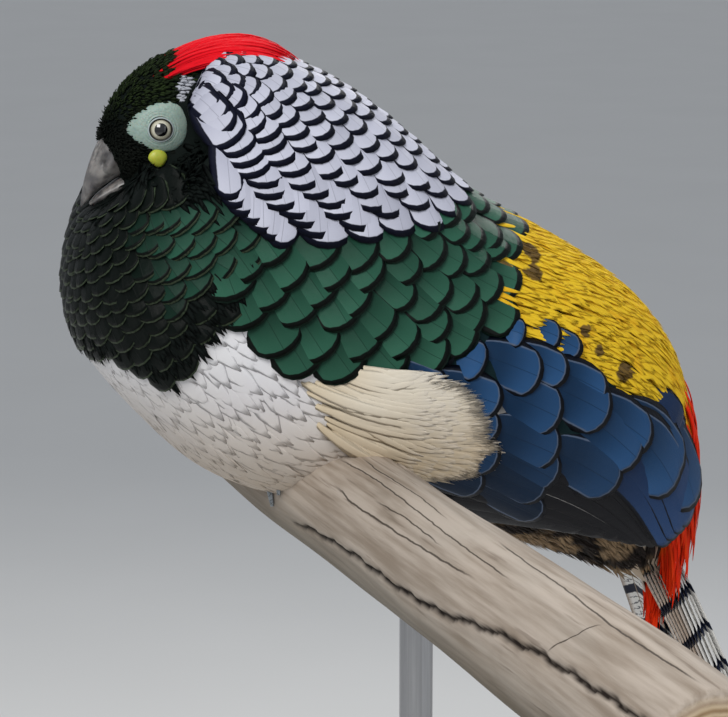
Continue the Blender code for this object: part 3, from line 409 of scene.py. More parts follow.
def lay_feathers(form: Form, u: np.ndarray, v: np.ndarray, heading: np.ndarray, length: np.ndarray,
                 width: np.ndarray, heights: Sequence[float], rng: np.random.Generator,
                 lift: Callable[[np.ndarray, np.ndarray], np.ndarray] | None = None, camber: float = 0.12,
                 thickness: float = 0.35 * MM, hue: np.ndarray | None = None, roll: float = 0.0,
                 ruffle: float = 0.0) -> Quills:
    """Lay feathers on a form, tips first.

    Args:
        form: what they lie on.
        u: ring places of the tips.
        v: angles of the tips, in radians.
        heading: ways they point, 0 tailwards and positive to the belly.
        length: their lengths in metres.
        width: their widths in metres.
        heights: heights over the form at root, middle and tip, in millimetres.
        rng: source of chance.
        lift: height of what they lie on over the form.
        camber: drop of the edges as a share of the half width.
        thickness: of the vane's middle.
        hue: values for the material.
        roll: lift of the edge on the belly's side, in degrees.
        ruffle: how far tips stand off by chance, in millimetres.

    Returns:
        The feathers.
    """
    count = len(u)
    chance = rng.random(count)
    spots = []
    places = [(u, v)]
    for _ in range(2):
        places.append(form.move(*places[-1], heading, -length / 2, 4))
    rise = np.outer(np.ones(count), heights) * MM
    rise[:, 2] += ruffle * MM * rng.random(count)
    for k, (pu, pv) in enumerate(places[::-1]):
        normal = form.slopes(pu, pv)[2]
        height = rise[:, k] + (lift(pu, pv) if lift else 0.0)
        spots.append((form.at(pu, pv) + normal * height[:, None], normal))
    (root, n0), (half, _), (tip, n2) = spots
    turn = math.tan(math.radians(roll)) * np.where(v >= 0, 1.0, -1.0)[:, None]
    ahead = unit(tip - root)
    side = unit(np.cross(ahead, n0 + n2)) + unit(n0 + n2) * turn
    roots_u, roots_v = places[-1]
    spot = beside(np.clip(roots_u / form.last, 0.003, 0.997), np.clip(roots_v / (2 * math.pi) + 0.5, 0.003, 0.997))
    hue = np.zeros((count, 3)) if hue is None else hue
    out, out_tip = np.cross(side, ahead), np.cross(unit(np.cross(ahead, n2)) + n2 * turn, ahead)
    return quills_through(root, half, tip, side, out, out_tip, width, camber, thickness, hue, chance, spot)


class Value:
    """A number in a node tree, with arithmetic that adds maths nodes."""

    def __init__(self, maker: "Tree", socket: bpy.types.NodeSocket) -> None:
        """Wrap an output socket."""
        self.maker, self.socket = maker, socket

    def do(self, operation: str, *others: "Value | float") -> "Value":
        """A maths node that starts with this value."""
        return self.maker.maths(operation, self, *others)

    def __add__(self, other: "Value | float") -> "Value":
        """The sum."""
        return self.do("ADD", other)

    def __sub__(self, other: "Value | float") -> "Value":
        """The difference."""
        return self.do("SUBTRACT", other)

    def __rsub__(self, other: float) -> "Value":
        """The difference from a number."""
        return self.maker.maths("SUBTRACT", other, self)

    def __mul__(self, other: "Value | float") -> "Value":
        """The product."""
        return self.do("MULTIPLY", other)

    def __truediv__(self, other: "Value | float") -> "Value":
        """The quotient."""
        return self.do("DIVIDE", other)

    def __rtruediv__(self, other: float) -> "Value":
        """A number over this value."""
        return self.maker.maths("DIVIDE", other, self)

    def __pow__(self, other: float) -> "Value":
        """The power."""
        return self.do("POWER", other)

    def __abs__(self) -> "Value":
        """The size without its sign."""
        return self.do("ABSOLUTE")

    __radd__, __rmul__ = __add__, __mul__

    def sine(self) -> "Value":
        """The sine."""
        return self.do("SINE")

    def fract(self) -> "Value":
        """What is over a whole number."""
        return self.do("FRACT")

    def least(self, other: "Value | float", soft: float = 0.0) -> "Value":
        """The smaller of two values, rounded where they cross by soft."""
        return self.do("SMOOTH_MIN", other, soft) if soft else self.do("MINIMUM", other)

    def most(self, other: "Value | float") -> "Value":
        """The larger of two values."""
        return self.do("MAXIMUM", other)

    def step(self, low: float, high: float) -> "Value":
        """0 below low, 1 above high and smooth between; falling where low is above high.

        Args:
            low: where it starts.
            high: where it ends.

        Returns:
            A value from 0 to 1.
        """
        flip = low > high
        node = self.maker.add("ShaderNodeMapRange", {"interpolation_type": "SMOOTHSTEP"},
                              {0: self, 1: min(low, high), 2: max(low, high), 3: 1.0 if flip else 0.0,
                               4: 0.0 if flip else 1.0})
        return Value(self.maker, node.outputs[0])

    def follow(self, line: Line) -> "Value":
        """Read a line of (x, y) pairs, in rising x, at this value.

        Args:
            line: the pairs.

        Returns:
            The value read from the line.
        """
        total: Value | float = line[0][1]
        for (x0, y0), (x1, y1) in zip(line, line[1:]):
            ramp = self.maker.add("ShaderNodeMapRange", {"interpolation_type": "LINEAR"},
                                  {0: self, 1: x0, 2: x1, 3: 0.0, 4: y1 - y0})
            total = Value(self.maker, ramp.outputs[0]) + total
        return total


class Tree:
    """A node tree under construction."""

    def __init__(self, tree: bpy.types.NodeTree) -> None:
        """Keep the tree."""
        self.tree = tree

    def add(self, kind: str, settings: dict | None = None, inputs: dict | None = None) -> bpy.types.Node:
        """Add a node.

        Args:
            kind: the node's type.
            settings: its properties.
            inputs: its inputs by name or number: a value, a socket or a wrapped value.

        Returns:
            The node.
        """
        node = self.tree.nodes.new(kind)
        for key, value in (settings or {}).items():
            setattr(node, key, value)
        for key, value in (inputs or {}).items():
            self.set(node.inputs[key], value)
        return node

    def set(self, target: bpy.types.NodeSocket, value: object) -> None:
        """Link a socket, or set its constant value."""
        value = value.socket if isinstance(value, Value) else value
        if isinstance(value, bpy.types.NodeSocket):
            self.tree.links.new(value, target)
        elif isinstance(value, (tuple, list)):
            target.default_value = (tuple(value) + (1.0,) * 4)[:len(target.default_value)]
        else:
            target.default_value = value

    def maths(self, operation: str, *values: "Value | float") -> Value:
        """A maths node."""
        return Value(self, self.add("ShaderNodeMath", {"operation": operation}, dict(enumerate(values))).outputs[0])

    def vector_maths(self, operation: str, *values: object) -> bpy.types.NodeSocket:
        """A vector maths node's vector."""
        return self.add("ShaderNodeVectorMath", {"operation": operation}, dict(enumerate(values))).outputs["Vector"]

    def measure(self, operation: str, *values: object) -> Value:
        """A vector maths node's number."""
        node = self.add("ShaderNodeVectorMath", {"operation": operation}, dict(enumerate(values)))
        return Value(self, node.outputs["Value"])

    def split(self, vector: bpy.types.NodeSocket) -> tuple[Value, Value, Value]:
        """The three numbers of a vector."""
        return tuple(Value(self, part) for part in self.add("ShaderNodeSeparateXYZ", inputs={0: vector}).outputs)

    def vector(self, x: "Value | float", y: "Value | float", z: "Value | float" = 0.0) -> bpy.types.NodeSocket:
        """A vector from three numbers."""
        return self.add("ShaderNodeCombineXYZ", inputs={0: x, 1: y, 2: z}).outputs[0]


@dataclass(frozen=True)
class Finish:
    """What a surface's shader keeps constant."""

    name: str
    roughness: float = 0.5
    coat: float = 0.0
    metallic: float = 0.0
    subsurface: float = 0.0
    specular: float = 0.5


class Nodes(Tree):
    """A material's node tree under construction."""

    def __init__(self, finish: Finish) -> None:
        """Start a material with the finish's constant values."""
        self.material = bpy.data.materials.new(finish.name)
        self.material.use_nodes = True
        super().__init__(self.material.node_tree)
        self.shader = self.tree.nodes["Principled BSDF"]
        for socket, value in (("Roughness", finish.roughness), ("Coat Weight", finish.coat),
                              ("Metallic", finish.metallic), ("Subsurface Weight", finish.subsurface),
                              ("Specular IOR Level", finish.specular), ("Subsurface Scale", 0.002),
                              ("Coat Roughness", 0.08)):
            self.shader.inputs[socket].default_value = value

    def reading(self, name: str) -> tuple[Value, Value, Value]:
        """The three numbers of an attribute of the mesh."""
        return self.split(self.add("ShaderNodeAttribute", {"attribute_name": name}).outputs["Vector"])

    def place(self) -> bpy.types.NodeSocket:
        """The place in the object's own coordinates."""
        return self.add("ShaderNodeTexCoord").outputs["Object"]

    def noise(self, scale: float, detail: float = 2.0, vector: bpy.types.NodeSocket | None = None,
              stretch: Sequence[float] | None = None) -> Value:
        """Noise from 0 to 1 over the object's coordinates, or over a vector.

        Args:
            scale: how fine it is.
            detail: how many finer layers it has.
            vector: where to read it.
            stretch: factors on the three axes.

        Returns:
            The noise.
        """
        vector = vector or self.place()
        if stretch:
            vector = self.add("ShaderNodeMapping", inputs={"Vector": vector, "Scale": stretch}).outputs[0]
        inputs = {"Vector": vector, "Scale": scale, "Detail": detail}
        return Value(self, self.add("ShaderNodeTexNoise", inputs=inputs).outputs[0])

    def cells(self, feature: str, scale: float) -> Value:
        """A pattern of small cells over the object's coordinates."""
        inputs = {"Vector": self.place(), "Scale": scale}
        return Value(self, self.add("ShaderNodeTexVoronoi", {"feature": feature}, inputs).outputs[0])

    def mix(self, share: "Value | float", first: object, second: object) -> bpy.types.NodeSocket:
        """A colour between two colours."""
        node = self.add("ShaderNodeMix", {"data_type": "RGBA"}, {0: share, 6: first, 7: second})
        return node.outputs[2]

    def bump(self, height: Value, strength: float, distance: float) -> None:
        """Let a height drive the shader's normal."""
        node = self.add("ShaderNodeBump", inputs={"Strength": strength, "Distance": distance, "Height": height})
        self.set(self.shader.inputs["Normal"], node.outputs[0])

    def done(self, colour: object, roughness: "Value | None" = None) -> bpy.types.Material:
        """Set the colour and hand over the material.

        Args:
            colour: the base colour.
            roughness: varying roughness, if any.

        Returns:
            The material.
        """
        self.set(self.shader.inputs["Base Color"], colour)
        if roughness is not None:
            self.set(self.shader.inputs["Roughness"], roughness)
        return self.material


class Vane:
    """What the shader of a feather knows about the point it shades, lengths in millimetres."""

    def __init__(self, finish: Finish) -> None:
        """Read the feather's attributes."""
        self.nodes = Nodes(finish)
        self.s, self.t, _ = self.nodes.reading("blade")
        self.half, self.length, self.chance = self.nodes.reading("quill")
        self.hue = self.nodes.reading("hue")
        self.side = abs(self.s) * self.half
        self.run = self.t * self.length
        ripple = self.nodes.noise(0.35, 3.0, self.nodes.vector(self.run, self.s * self.half, self.chance * 90.0))
        self.ripple = ripple - 0.5
        self.rim = (self.half - self.side).least(self.length - self.run, 1.2) + self.ripple * 0.5

    def barbs(self, pitch: float = 0.55, slant: float = 1.0, rough: float = 0.35) -> Value:
        """Waves that run out from the shaft like barbs, from 0 to 1."""
        phase = (self.run - self.side * slant) / pitch + self.ripple * rough * 6.0
        return (phase * 6.283).sine() * 0.5 + 0.5

    def shaft(self, wide: float = 0.28) -> Value:
        """1 on the shaft and 0 off it."""
        return self.side.step(wide, wide * 0.4)

    def dressed(self, colour: object, barbs: Value, strength: float = 0.35) -> bpy.types.Material:
        """Finish the material with the barbs as relief."""
        self.nodes.bump(barbs + self.shaft() * 1.5, strength, 0.00022)
        return self.nodes.done(colour)


@dataclass
class Plumage:
    """Grows a tract's feathers from one vane shape with a Geometry Nodes tree."""

    name: str
    blade: Blade
    quills: Quills
    material: bpy.types.Material
    nodes: tuple[str, ...]
    rows: int = 8
    wide: int = 6

    def vane_mesh(self) -> bpy.types.Object:
        """One closed vane: x is across, y is along and z is the face, each on its own scale."""
        xs, ys, zs, keys, faces = [], [], [], [], []
        rows, wide, end = self.rows, self.wide, self.blade.round_end()
        ts = np.linspace(0, 1, rows + 1) ** (0.85 if end else 1.0)
        even = np.linspace(-1, 1, wide + 1)
        ss = np.sin(even * math.pi / 2) * 0.55 + even * 0.45
        index = {}
        for face in (1, -1):
            for i, t in enumerate(ts):
                for j, s in enumerate(ss):
                    rim = i in (0, rows) or j in (0, wide)
                    if rim and face == -1:
                        index[face, i, j] = index[1, i, j]
                        continue
                    index[face, i, j] = len(xs)
                    xs.append(s * float(read_line(self.blade.value, t)))
                    ys.append(t * (1 - end * (1 - math.sqrt(max(0.0, 1 - abs(s) ** 2.2)))))
                    zs.append(0.0 if rim else face * (1 - 0.5 * abs(s) ** 3))
                    keys.append((s, t, 0.0))
        for face in (1, -1):
            for i in range(rows):
                for j in range(wide):
                    quad = [index[face, i, j], index[face, i, j + 1], index[face, i + 1, j + 1],
                            index[face, i + 1, j]]
                    faces.append(quad if face == 1 else quad[::-1])
        mesh = bpy.data.meshes.new(self.name + "_vane")
        mesh.from_pydata(list(zip(xs, ys, zs)), [], faces)
        store(mesh, "form", np.array(list(zip(xs, ys, zs))))
        store(mesh, "blade", np.array(keys))
        return link(bpy.data.objects.new(self.name + "_vane", mesh))

    def quill_cloud(self) -> bpy.types.Object:
        """The roots as points that carry everything else about each feather."""
        mesh = bpy.data.meshes.new(self.name)
        mesh.from_pydata([tuple(p) for p in self.quills.root], [], [])
        for name in Quills.names():
            store(mesh, name, getattr(self.quills, name))
        return link(bpy.data.objects.new(self.name, mesh))

    def grow(self) -> bpy.types.Object:
        """Make the tract's piece.

        Returns:
            The finished piece, already riding and standing for its solids.
        """
        vane, cloud = self.vane_mesh(), self.quill_cloud()
        tree = GrowTree.shared()
        modifier = cloud.modifiers.new("grow", "NODES")
        modifier.node_group = tree
        sockets = {item.name: item.identifier for item in tree.interface.items_tree if item.item_type == "SOCKET"}
        modifier[sockets["Vane"]] = vane
        modifier[sockets["Material"]] = self.material
        baked(cloud)
        bpy.data.objects.remove(vane)
        place_on_perch(cloud)
        cloud.data.shade_smooth()
        return piece(cloud, self.nodes)


class GrowTree(Tree):
    """The Geometry Nodes tree that turns quill points into bent vanes."""

    made: bpy.types.NodeTree | None = None

    @classmethod
    def shared(cls) -> bpy.types.NodeTree:
        """The tree, built the first time it is asked for."""
        if cls.made is None:
            cls.made = cls().build()
        return cls.made

    def __init__(self) -> None:
        """Start the tree with its named inputs."""
        super().__init__(bpy.data.node_groups.new("grow_vanes", "GeometryNodeTree"))
        face = self.tree.interface
        for name in ("Geometry", "Object", "Material"):
            face.new_socket("Vane" if name == "Object" else name, in_out="INPUT", socket_type="NodeSocket" + name)
        face.new_socket("Geometry", in_out="OUTPUT", socket_type="NodeSocketGeometry")
        self.source = self.add("NodeGroupInput").outputs

    def reading(self, name: str) -> bpy.types.NodeSocket:
        """A vector attribute by name."""
        return self.add("GeometryNodeInputNamedAttribute", {"data_type": "FLOAT_VECTOR"}, {0: name}).outputs[0]

    def scaled(self, name: str, factor: Value) -> bpy.types.NodeSocket:
        """A vector attribute times a number."""
        inputs = {0: self.reading(name), 3: factor}
        return self.add("ShaderNodeVectorMath", {"operation": "SCALE"}, inputs).outputs[0]

    def total(self, *terms: bpy.types.NodeSocket) -> bpy.types.NodeSocket:
        """The sum of vectors."""
        result = terms[0]
        for term in terms[1:]:
            result = self.vector_maths("ADD", result, term)
        return result

    def build(self) -> bpy.types.NodeTree:
        """Wire the tree: instances, realized, bent along their curves, with their bake map."""
        vane = self.add("GeometryNodeObjectInfo", inputs={"Object": self.source["Vane"]})
        points = self.add("GeometryNodeMeshToPoints", inputs={0: self.source["Geometry"]})
        placed = self.add("GeometryNodeInstanceOnPoints",
                          inputs={"Points": points.outputs[0], "Instance": vane.outputs["Geometry"]})
        real = self.add("GeometryNodeRealizeInstances", inputs={0: placed.outputs[0]})
        x, t, z = self.split(self.reading("form"))
        rest = 1.0 - t
        camber, thickness, _ = self.split(self.reading("lay"))
        line = self.total(self.scaled("root", rest * rest), self.scaled("mid", rest * t * 2.0),
                          self.scaled("tip", t * t))
        out = self.total(self.scaled("out", rest), self.scaled("out_tip", t))
        height = z * thickness * 0.5 - camber * (x * x)
        lifted = self.add("ShaderNodeVectorMath", {"operation": "SCALE"}, {0: out, 3: height}).outputs[0]
        place = self.total(line, self.scaled("across", x), lifted)
        moved = self.add("GeometryNodeSetPosition", inputs={"Geometry": real.outputs[0], "Position": place})
        across, ahead, size = self.split(self.reading("patch"))
        s, along, _ = self.split(self.reading("blade"))
        spot = self.vector(across + s * 0.5 * size, ahead + (along - 0.5) * size)
        mapped = self.add("GeometryNodeStoreNamedAttribute", {"data_type": "FLOAT2", "domain": "CORNER"},
                          {"Geometry": moved.outputs[0], "Name": "OFBake", "Value": spot})
        painted = self.add("GeometryNodeSetMaterial",
                           inputs={"Geometry": mapped.outputs[0], "Material": self.source["Material"]})
        self.add("NodeGroupOutput", inputs={0: painted.outputs[0]})
        return self.tree


def link(obj: bpy.types.Object) -> bpy.types.Object:
    """Put an object in the scene."""
    bpy.context.scene.collection.objects.link(obj)
    return obj


def store(mesh: bpy.types.Mesh, name: str, values: np.ndarray) -> None:
    """Store a vector for each vertex under a name."""
    attribute = mesh.attributes.new(name, "FLOAT_VECTOR", "POINT")
    attribute.data.foreach_set("vector", np.ascontiguousarray(values, np.float32).ravel())


def place_on_perch(obj: bpy.types.Object) -> None:
    """Carry a mesh from the perch point's frame to the model's."""
    vertices = obj.data.vertices
    vertices.foreach_set("co", (vectors(vertices, "co") + PERCH).ravel())
    obj.data.update()


def piece(obj: bpy.types.Object, nodes: Iterable[str] = (), slot: str | None = None) -> bpy.types.Object:
    """Attach a finished piece to the root, hide the solids that it stands for and log its triangles.

    Args:
        obj: the piece, in the model's frame.
        nodes: the solids that it stands for.
        slot: not used.

    Returns:
        The same object.
    """
    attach(obj, "root")
    nodes = tuple(nodes)
    if nodes:
        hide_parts(*nodes)
    if slot or nodes:
        slot or nodes[0]
    mesh = obj.data
    log.info("%s: %d triangles", obj.name, sum(len(face.vertices) - 2 for face in mesh.polygons))
    return obj


def outwards(mesh: bpy.types.Mesh) -> None:
    """Turn a mesh's faces outwards and shade it smooth."""
    work = bmesh.new()
    work.from_mesh(mesh)
    bmesh.ops.recalc_face_normals(work, faces=work.faces)
    work.to_mesh(mesh)
    work.free()
    mesh.shade_smooth()


def mesh_object(name: str, points: np.ndarray, faces: Sequence[Sequence[int]],
                material: bpy.types.Material | None = None) -> bpy.types.Object:
    """A linked mesh object with outward faces and smooth shading.

    Args:
        name: its name.
        points: its points.
        faces: its faces.
        material: its material.

    Returns:
        The object.
    """
    mesh = bpy.data.meshes.new(name)
    mesh.from_pydata([tuple(p) for p in points], [], [tuple(f) for f in faces])
    outwards(mesh)
    if material:
        mesh.materials.append(material)
    return link(bpy.data.objects.new(name, mesh))


def baked(obj: bpy.types.Object) -> bpy.types.Object:
    """Apply an object's modifiers.

    Args:
        obj: the object.

    Returns:
        The same object.
    """
    bpy.context.view_layer.update()
    mesh = bpy.data.meshes.new_from_object(obj.evaluated_get(bpy.context.evaluated_depsgraph_get()))
    obj.modifiers.clear()
    obj.data = mesh
    return obj


def grid_faces(rows: int, columns: int, wrap: bool = True, caps: bool = True) -> list[tuple[int, ...]]:
    """Faces of a tube or sheet of points laid row after row.

    Args:
        rows: number of rows.
        columns: points in a row.
        wrap: whether rows close.
        caps: whether both ends are closed.

    Returns:
        The faces.
    """
    faces = []
    for i in range(rows - 1):
        for j in range(columns if wrap else columns - 1):
            k = (j + 1) % columns
            faces.append((i * columns + j, i * columns + k, (i + 1) * columns + k, (i + 1) * columns + j))
    if caps and wrap:
        faces.append(tuple(range(columns))[::-1])
        faces.append(tuple((rows - 1) * columns + j for j in range(columns)))
    return faces


def lofted(name: str, form: Form, rows: int, columns: int) -> bpy.types.Object:
    """The closed mesh of a whole form.

    Args:
        name: its name.
        form: the form.
        rows: number of rows.
        columns: points in a row.

    Returns:
        The object.
    """
    u = np.repeat(np.linspace(0, form.last, rows), columns)
    v = np.tile(np.linspace(0, 2 * math.pi, columns, endpoint=False), rows)
    return mesh_object(name, form.at(u, v), grid_faces(rows, columns))


def add_bake_map(obj: bpy.types.Object, spread: Callable[[np.ndarray], np.ndarray]) -> None:
    """Give a mesh a bake map from a function of its points.

    Args:
        obj: the object.
        spread: places on the map for points.
    """
    mesh = obj.data
    corners = np.empty(len(mesh.loops), int)
    mesh.loops.foreach_get("vertex_index", corners)
    layer = mesh.uv_layers.new(name="OFBake")
    layer.data.foreach_set("uv", spread(vectors(mesh.vertices, "co"))[corners].astype(np.float32).ravel())


def wing_height(u: np.ndarray, v: np.ndarray) -> np.ndarray:
    """Height of the folded wing's surface over the body.

    Args:
        u: ring places.
        v: angles in radians.

    Returns:
        Heights in metres.
    """
    upper, lower = read_line(WING_UPPER, u), read_line(WING_LOWER, u)
    across = (np.abs(np.degrees(v)) - upper) / (lower - upper)
    edge = 1 - 0.55 * np.clip(1 - 4 * across, 0, None) ** 2
    return read_line(WING_RISE, u) * edge * MM


@dataclass
class Skin:
    """The bird's one skin, under the coat from the head to the root of the tail."""

    material: bpy.types.Material
    depth: float = 0.7 * MM

    def wing_plate(self, sign: int) -> bpy.types.Object:
        """The folded wing's own body on one side.

        Args:
            sign: 1 for the left side, -1 for the right.

        Returns:
            The plate.
        """
        rows, columns = 24, 12
        u = np.repeat(np.linspace(6.45, 11.5, rows), columns)
        share = np.tile(np.linspace(0, 1, columns), rows)
        v = np.radians(read_line(WING_UPPER, u) * (1 - share) + read_line(WING_LOWER, u) * share) * sign
        points, normal = BODY.at(u, v), BODY.slopes(u, v)[2]
        outer = points + normal * wing_height(u, v)[:, None]
        inner = points - normal * 6 * MM
        count = rows * columns
        faces = [tuple(f) for f in grid_faces(rows, columns, wrap=False)]
        faces += [tuple(count + k for k in f[::-1]) for f in faces]
        rim = list(range(columns)) + [i * columns + columns - 1 for i in range(1, rows)]
        rim += [(rows - 1) * columns + j for j in range(columns - 2, -1, -1)]
        rim += [i * columns for i in range(rows - 2, 0, -1)]
        faces += [(a, b, count + b, count + a) for a, b in zip(rim, rim[1:] + rim[:1])]
        return mesh_object("wing_plate", np.concatenate([outer, inner]), faces)

    @staticmethod
    def carve(trunk: bpy.types.Object, middle: tuple[float, float], near: float, far: float, sign: int) -> None:
        """Cut one hollow of the ruff out of the trunk, a cone that opens sideways.

        Args:
            trunk: what is cut.
            middle: the hollow's middle (x, z).
            near: its radius near the mid plane.
            far: its radius far out.
            sign: 1 for the left side, -1 for the right.
        """
        turn = np.linspace(0, 2 * math.pi, 48, endpoint=False)
        points = [beside(middle[0] + wide * np.cos(turn), -sign * depth, middle[1] + wide * np.sin(turn))
                  for depth, wide in zip(HOLLOW_DEPTHS, (near, far))]
        cone = mesh_object("hollow", np.concatenate(points) * MM, grid_faces(2, 48))
        modifier = trunk.modifiers.new("hollow", "BOOLEAN")
        modifier.operation, modifier.solver, modifier.object = "DIFFERENCE", "MANIFOLD", cone
        baked(trunk)
        bpy.data.objects.remove(cone)

    def build(self) -> bpy.types.Object:
        """Join the forms, melt them together and draw the surface in by the coat's depth."""
        trunk = lofted("trunk", BODY, 60, 48)
        for hollow in FACE_HOLLOWS:
            for sign in (1, -1):
                self.carve(trunk, *hollow, sign)
        parts = [trunk, lofted("skull", HEAD, 30, 32)]
        parts += [self.wing_plate(sign) for sign in (1, -1)]
        parts.append(mesh_object("tail_root", *ball_mesh((167, 0, -76), (21, 13, 12), math.radians(64))))
        skin = trunk
        joined = bmesh.new()
        for part in parts:
            joined.from_mesh(part.data)
        joined.to_mesh(skin.data)
        joined.free()
        for part in parts[1:]:
            bpy.data.objects.remove(part)
        skin.name = skin.data.name = "skin"
        remesh = skin.modifiers.new("melt", "REMESH")
        remesh.mode, remesh.voxel_size = "VOXEL", 2.2 * MM
        smooth = skin.modifiers.new("even", "SMOOTH")
        smooth.factor, smooth.iterations = 0.6, 6
        baked(skin)
        mesh = skin.data
        lowered = vectors(mesh.vertices, "co") - vectors(mesh.vertex_normals, "vector") * self.depth
        mesh.vertices.foreach_set("co", lowered.ravel())
        mesh.materials.clear()
        mesh.materials.append(self.material)
        mesh.shade_smooth()
        middle = np.array((40, 0, 40)) * MM

        def spread(p: np.ndarray) -> np.ndarray:
            """Places on the bake map by the way from the body's middle."""
            way = unit(p - middle)
            return beside(np.arctan2(way[:, 1], way[:, 0]) / (2 * math.pi) + 0.5,
                          np.arccos(np.clip(way[:, 2], -1, 1)) / math.pi)

        add_bake_map(skin, spread)
        place_on_perch(skin)
        return piece(skin, ("head", "neck", "torso", "wing_left", "wing_right"), "torso")


def ball_mesh(centre: Sequence[float], radii: Sequence[float], turn: float = 0.0,
              fine: int = 24) -> tuple[np.ndarray, list[tuple[int, ...]]]:
    """Points and faces of an ellipsoid, in metres from sizes in millimetres, turned about Y.

    Args:
        centre: the middle.
        radii: the half axes.
        turn: angle in radians.
        fine: points round it.

    Returns:
        Points and faces.
    """
    rings = fine // 2
    theta = np.repeat(np.linspace(0.04, math.pi - 0.04, rings), fine)
    phi = np.tile(np.linspace(0, 2 * math.pi, fine, endpoint=False), rings)
    x, y, z = np.sin(theta) * np.cos(phi) * radii[0], np.sin(theta) * np.sin(phi) * radii[1], np.cos(theta) * radii[2]
    c, s = math.cos(turn), math.sin(turn)
    points = beside(centre[0] + x * c + z * s, centre[1] + y, centre[2] - x * s + z * c) * MM
    return points, grid_faces(rings, fine)


def spaced(low: float, high: float, step_at: Callable[[float], float]) -> np.ndarray:
    """Places from low to high whose spacing follows a function of the place.

    Args:
        low: the first place.
        high: the last place.
        step_at: the gap at a place.

    Returns:
        The places.
    """
    places, at = [], low
    while at <= high + 1e-6:
        places.append(at)
        at += max(step_at(at), 1e-4)
    spare = (high - places[-1]) / max(len(places) - 1, 1)
    return np.array([p + k * spare for k, p in enumerate(places)])


